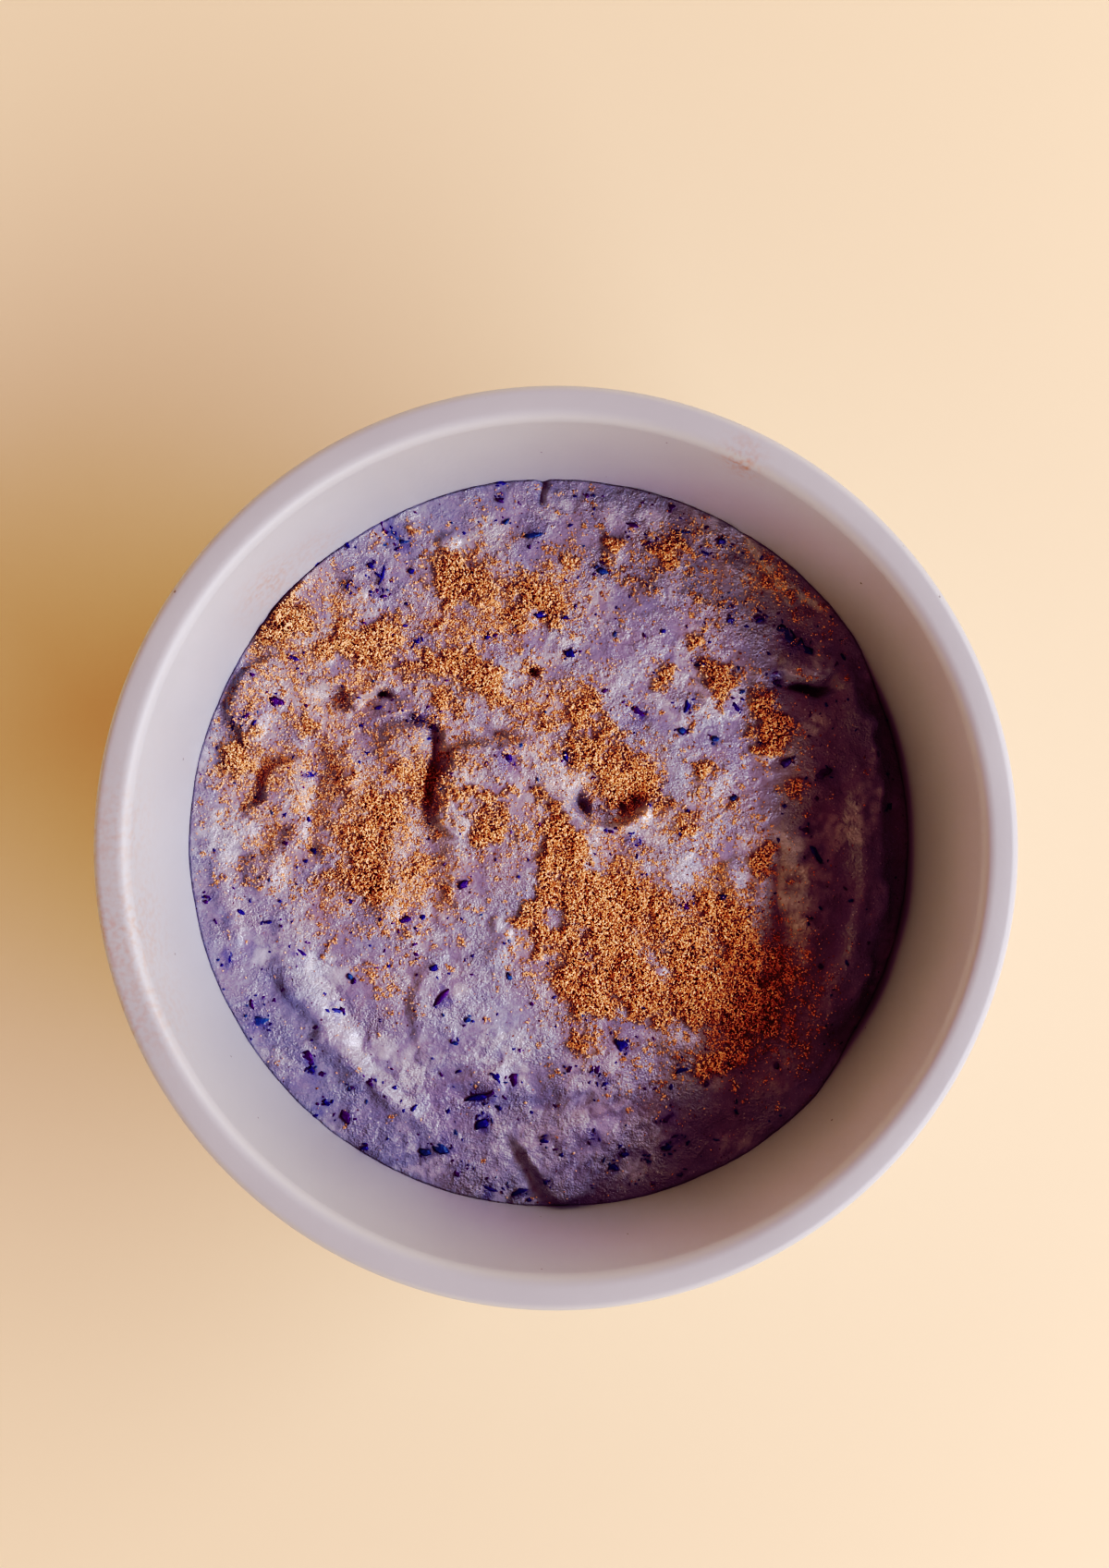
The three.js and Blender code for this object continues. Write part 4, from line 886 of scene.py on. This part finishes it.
strays = strewn(STRAY_TRIES * STRAY_SKINS, lambda x, y: 1 - STRAYS_HIDDEN * laid(cinnamon_cover, x, y))
strays = strays[:STRAY_SKINS]
lengths = STRAY_SMALLEST + STRAY_RANGE * chance.random(len(strays)) ** 2
scraps = [
    (x, y, length, length * chance.uniform(0.4, 0.8), chance.uniform(0, 180))
    for (x, y), length in zip(strays, lengths)
]
for x, y, length, width, turn in SKINS:
    for _ in range(SKIN_CRUMBS):
        away, spin = chance.uniform(*CRUMB_AWAY) * length, chance.uniform(0, 360)
        crumb_x, crumb_y = x + away * math.cos(spin), y + away * math.sin(spin)
        if math.hypot(crumb_x, crumb_y) < DISC - 1:
            size = chance.uniform(*CRUMB_LENGTHS), chance.uniform(*CRUMB_WIDTHS)
            scraps.append((crumb_x, crumb_y, *size, spin))

# Every scrap has two faces, each of a centre, a middle ring and the rim, welded along the rim.
ring = np.linspace(0, 2 * math.pi, SKIN_RIM, endpoint=False)
skin_verts, skin_faces, skin_tint = [], [], []
for x, y, length, width, turn in SKINS + scraps:
    ragged = 1 + SKIN_RAGGED * chance.standard_normal(SKIN_RIM)
    across = np.concatenate([[0], SKIN_MIDDLE * ragged * np.cos(ring), ragged * np.cos(ring)])
    along = np.concatenate([[0], SKIN_MIDDLE * ragged * np.sin(ring), ragged * np.sin(ring)])
    across, along = across * length / 2, along * width / 2
    c, s = math.cos(math.radians(turn)), math.sin(math.radians(turn))
    px, py = x + c * across - s * along, y + s * across + c * along
    crumple = SKIN_CRUMPLE * chance.standard_normal(len(px)) * min(1, width)
    crumple += SKIN_FOLD * min(1, width) * np.cos(SKIN_FOLDS * along / width + chance.uniform(0, 6))
    crumple[-SKIN_RIM:] -= SKIN_TUCK
    z = laid(ground, px, py) + SKIN_RISE + crumple
    upper = np.stack([px, py, z], axis=1)
    lower = upper[: 1 + SKIN_RIM] - [0, 0, SKIN_THICKNESS]
    start = sum(map(len, skin_verts))
    skin_verts.append(np.concatenate([upper, lower]))
    low = start + len(upper)
    for i in range(SKIN_RIM):
        j = (i + 1) % SKIN_RIM
        middle, middle_next = start + 1 + i, start + 1 + j
        rim_here, rim_next = middle + SKIN_RIM, middle_next + SKIN_RIM
        under, under_next = low + 1 + i, low + 1 + j
        skin_faces += [(start, middle, middle_next)]
        skin_faces += [(middle, rim_here, rim_next), (middle, rim_next, middle_next)]
        skin_faces += [(low, under_next, under), (under, rim_next, rim_here), (under, under_next, rim_next)]
    skin_tint.append(np.full(len(upper) + len(lower), chance.random()))

skins, skin_mesh = new_piece("berry_skins", np.concatenate(skin_verts) * MM, [], skin_faces)
remembered(skin_mesh, "tint", np.concatenate(skin_tint))
skin_mesh.shade_smooth()

SKIN_NAVY = (0.03, 0.035, 0.26, 1)
SKIN_PURPLE = (0.12, 0.018, 0.19, 1)
SKIN_TEAL = (0.035, 0.12, 0.28, 1)
peeled, tree, shader, at = material("berry_skin")
wrinkles = noise(tree, at, scale=1600, detail=4)
color = mixed(tree, spread(tree, field(tree, "tint"), 0.45, 0.55), SKIN_NAVY, SKIN_PURPLE)
color = mixed(tree, spread(tree, field(tree, "tint"), 0.85, 0.87), color, SKIN_TEAL)
color = mixed(tree, spread(tree, wrinkles, 0.5, 0.75, 0, 0.5), color, BERRY_STAIN)
finished(tree, shader, color, spread(tree, wrinkles, 0.3, 0.7, 0.2, 0.4), wrinkles, 0.2 * MM)
skin_mesh.materials.append(peeled)

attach(skins, "root")
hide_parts("porridge")


# ----------------------------------------------------------------------
# The cinnamon
# Ground cinnamon bark, shaken on last: fine dust, coarser grains and a few slivers. It is dry and loose,
# heaped where a clump fell and thin between.
# Each kind, in millimetres: how many at most, smallest and largest size, how drawn out, how high it may lie
# in a heap, how far apart the grains of one clump fall, and how much of it drifts beyond the heaps.
CINNAMON_KINDS = {
    "cinnamon_dust": (24500, 0.18, 0.30, 1.2, 0.35, 0.0, 0.55),
    "cinnamon_grains": (24500, 0.28, 0.48, 1.3, 0.75, 0.0, 0.16),
    "cinnamon_crumbs": (24500, 0.24, 0.42, 1.3, 0.5, 0.30, 0.7),
    "cinnamon_slivers": (16000, 0.20, 0.34, 2.2, 0.85, 0.0, 0.05),
}
CLUMP = 7  # grains in a clump, on average
TRIES = 9  # places tried for each grain that lands
GRAIN_FLATNESS = 0.8
GRAIN_SIZES_VARY = (0.8, 1.25)  # each side of a grain by chance
GRAIN_LEAST_LIFT = 0.25  # how high its middle lies at least, in smallest sizes
# How light a grain is, by chance and by how high it lies: light and dark grains are partly painted light and
# shade among the grains, and the ones that lie high are painted lighter, as if lit more.
TINT_BY_CHANCE, PAINTED_LIGHT_BY_LIFT = 0.7, 0.3  # how light a grain is; the ones that lie high are lighter
OCTAHEDRON = np.array([(1, 0, 0), (-1, 0, 0), (0, 1, 0), (0, -1, 0), (0, 0, 1), (0, 0, -1)], float)
OCTAHEDRON_FACES = np.array(
    [(0, 2, 4), (2, 1, 4), (1, 3, 4), (3, 0, 4), (2, 0, 5), (1, 2, 5), (3, 1, 5), (0, 3, 5)]
)

# Grain colours: the darkest is partly painted shade between grains, the lightest partly a painted highlight.
CINNAMON_LIGHT_AND_LIT = (1.0, 0.79, 0.54, 1)
CINNAMON_MID = (0.84, 0.505, 0.29, 1)
CINNAMON_DARK_AND_SHADED = (0.24, 0.09, 0.04, 1)
bark, tree, shader, at = material("cinnamon")
fleck = noise(tree, at, scale=2600, detail=2)
color = mixed(tree, spread(tree, field(tree, "tint"), 0.0, 0.3), CINNAMON_DARK_AND_SHADED, CINNAMON_MID)
color = mixed(tree, spread(tree, field(tree, "tint"), 0.35, 0.85), color, CINNAMON_LIGHT_AND_LIT)
finished(tree, shader, color, spread(tree, fleck, 0.3, 0.7, 0.55, 0.85), fleck, 0.05 * MM)


def fallen(drift, x, y):
    """How likely a grain is to lie at a place, of a kind that drifts so much beyond the heaps."""
    haze = laid(cinnamon_haze, x, y)
    return np.clip(drift * (0.02 + haze) * (0.35 + haze) + laid(cinnamon_cover, x, y) ** 2, 0, 1)


def clumped(drift, x, y):
    """The same for the middle of a clump, which seldom falls where the cinnamon lies thick."""
    return fallen(drift, x, y) * (1 - 0.6 * laid(cinnamon_cover, x, y))


for kind, (count, smallest, largest, drawn_out, rise, clump_reach, drift) in CINNAMON_KINDS.items():
    if clump_reach:
        clumps = strewn(TRIES * count // CLUMP, lambda x, y: clumped(drift, x, y))
        spots = np.repeat(clumps, chance.integers(1, 2 * CLUMP, len(clumps)), axis=0)[:count]
        spots = spots + clump_reach * chance.standard_normal(spots.shape)
        spots = spots[np.hypot(*spots.T) < DISC]
    else:
        spots = strewn(TRIES * count, lambda x, y: fallen(drift, x, y))[:count]
    total = len(spots)
    sizes = chance.uniform(smallest, largest, (total, 1)) * np.array([[drawn_out, 1, GRAIN_FLATNESS]]) / 2
    sizes = sizes * chance.uniform(*GRAIN_SIZES_VARY, (total, 3))
    turns = np.linalg.qr(chance.standard_normal((total, 3, 3)))[0]
    turns[np.linalg.det(turns) < 0] *= -1
    x, y = spots.T
    cover = laid(cinnamon_cover, x, y)
    lift = GRAIN_LEAST_LIFT * smallest + rise * cover * chance.random(total) ** 1.5
    centres = np.stack([x, y, laid(ground, x, y) + lift], axis=1)
    grain_verts = np.einsum("gij,gvj->gvi", turns, OCTAHEDRON * sizes[:, None, :]) + centres[:, None, :]
    grain_faces = OCTAHEDRON_FACES + len(OCTAHEDRON) * np.arange(total)[:, None, None]
    pile, pile_mesh = new_piece(kind, grain_verts.reshape(-1, 3) * MM, [], grain_faces.reshape(-1, 3))
    # Painted light: grains that lie higher are lighter.
    tint = chance.random(total) * TINT_BY_CHANCE + PAINTED_LIGHT_BY_LIFT * lift / (rise + 0.1)
    remembered(pile_mesh, "tint", np.repeat(tint, len(OCTAHEDRON)))
    pile_mesh.materials.append(bark)
    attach(pile, "root")
    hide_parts("porridge")


# ----------------------------------------------------------------------
# The table, the light and the camera
# A plain pale table top, one long soft box on the right, and a room that is bright and warm low down and
# dim overhead. The camera hangs 230 mm over the rim of the bowl and looks almost straight down.
TABLE_SIZE = 3
TABLE_PALE = (0.76, 0.65, 0.49, 1)
bpy.ops.object.select_all(action="DESELECT")
bpy.ops.mesh.primitive_plane_add(size=TABLE_SIZE, location=(0, 0, 0))
table = bpy.context.active_object
table.name = "table_top"
paint = bpy.data.materials.new("pale_table")
paint.use_nodes = True
shader = paint.node_tree.nodes["Principled BSDF"]
shader.inputs["Base Color"].default_value = TABLE_PALE
shader.inputs["Roughness"].default_value = 0.7
table.data.materials.append(paint)

# A long soft box on the right, its length level: azimuth and elevation in degrees, seen from the bowl.
LAMP_AZIMUTH, LAMP_ELEVATION = -15, 38.0
LAMP_AWAY = 1.5
LAMP_SIZE = (0.24, 2.6)
LAMP_POWER = 32.5
LAMP_COLOR = (0.885, 0.957, 1.075)
turn, rise = math.radians(LAMP_AZIMUTH), math.radians(LAMP_ELEVATION)
towards = (math.cos(rise) * math.cos(turn), math.cos(rise) * math.sin(turn), math.sin(rise))
bpy.ops.object.light_add(type="AREA", location=[LAMP_AWAY * t for t in towards])
lamp = bpy.context.active_object
lamp.name = "soft_box"
lamp.rotation_euler = (0, math.radians(90) - rise, turn)
lamp.data.shape = "RECTANGLE"
lamp.data.size, lamp.data.size_y = LAMP_SIZE
lamp.data.energy = LAMP_POWER
lamp.data.color = LAMP_COLOR
lamp.visible_camera = False

# The room is bright and warm low down, all round, and dim overhead, so the shade inside the bowl stays deep.
ROOM_LOW = (2.0, 1.68, 1.12, 1)
ROOM_OVERHEAD = (0.16, 0.02, 0.05, 1)
ROOM_DIMS = (0.25, 0.75)  # how high, from 0 to 1, the room starts to dim and is dim
world = bpy.data.worlds.new("room")
world.use_nodes = True
tree = world.node_tree
direction = add(tree, "TexCoord", {}).outputs["Generated"]
upwards = add(tree, "SeparateXYZ", {"Vector": direction}).outputs["Z"]
sky = mixed(tree, spread(tree, upwards, *ROOM_DIMS), ROOM_LOW, ROOM_OVERHEAD)
tree.links.new(sky, tree.nodes["Background"].inputs["Color"])
tree.nodes["Background"].inputs["Strength"].default_value = 1.0
bpy.context.scene.world = world

CAMERA_HEIGHT = 298 * MM
CAMERA_SIDE = (-5.06 * MM, 6.77 * MM)
CAMERA_LEAN = (math.radians(1.08), math.radians(0.87))  # towards +X and towards +Y
CAMERA_LENS, CAMERA_SENSOR = 31.87, 36
bpy.ops.object.camera_add(location=(*CAMERA_SIDE, CAMERA_HEIGHT))
camera = bpy.context.active_object
camera.rotation_euler = (CAMERA_LEAN[1], -CAMERA_LEAN[0], 0)
camera.data.lens = CAMERA_LENS
camera.data.sensor_width = CAMERA_SENSOR
camera.data.clip_start = 10 * MM
bpy.context.scene.camera = camera

# Tone curves: the lights stay as they are and the shade gets a good deal deeper. It also loses green, which
# makes it plum, and the darker mid tones gain a little blue.
ALL_COLORS, GREEN, BLUE = 3, 1, 2  # the curves' numbers
TONES = {
    ALL_COLORS: ((0.06, 0.008), (0.14, 0.038), (0.24, 0.14), (0.34, 0.30), (0.5, 0.5)),
    GREEN: ((0.04, 0.02), (0.08, 0.046), (0.1, 0.074), (0.12, 0.11), (0.15, 0.15), (0.3, 0.3)),
    BLUE: ((0.14, 0.14), (0.2, 0.212), (0.26, 0.286), (0.33, 0.35), (0.42, 0.425)),
}
tones = bpy.context.scene.view_settings
tones.view_transform = "Standard"
tones.look = "None"
tones.use_curve_mapping = True
for channel, curve in TONES.items():
    for shown, kept in curve:
        tones.curve_mapping.curves[channel].points.new(shown, kept)
tones.curve_mapping.update()
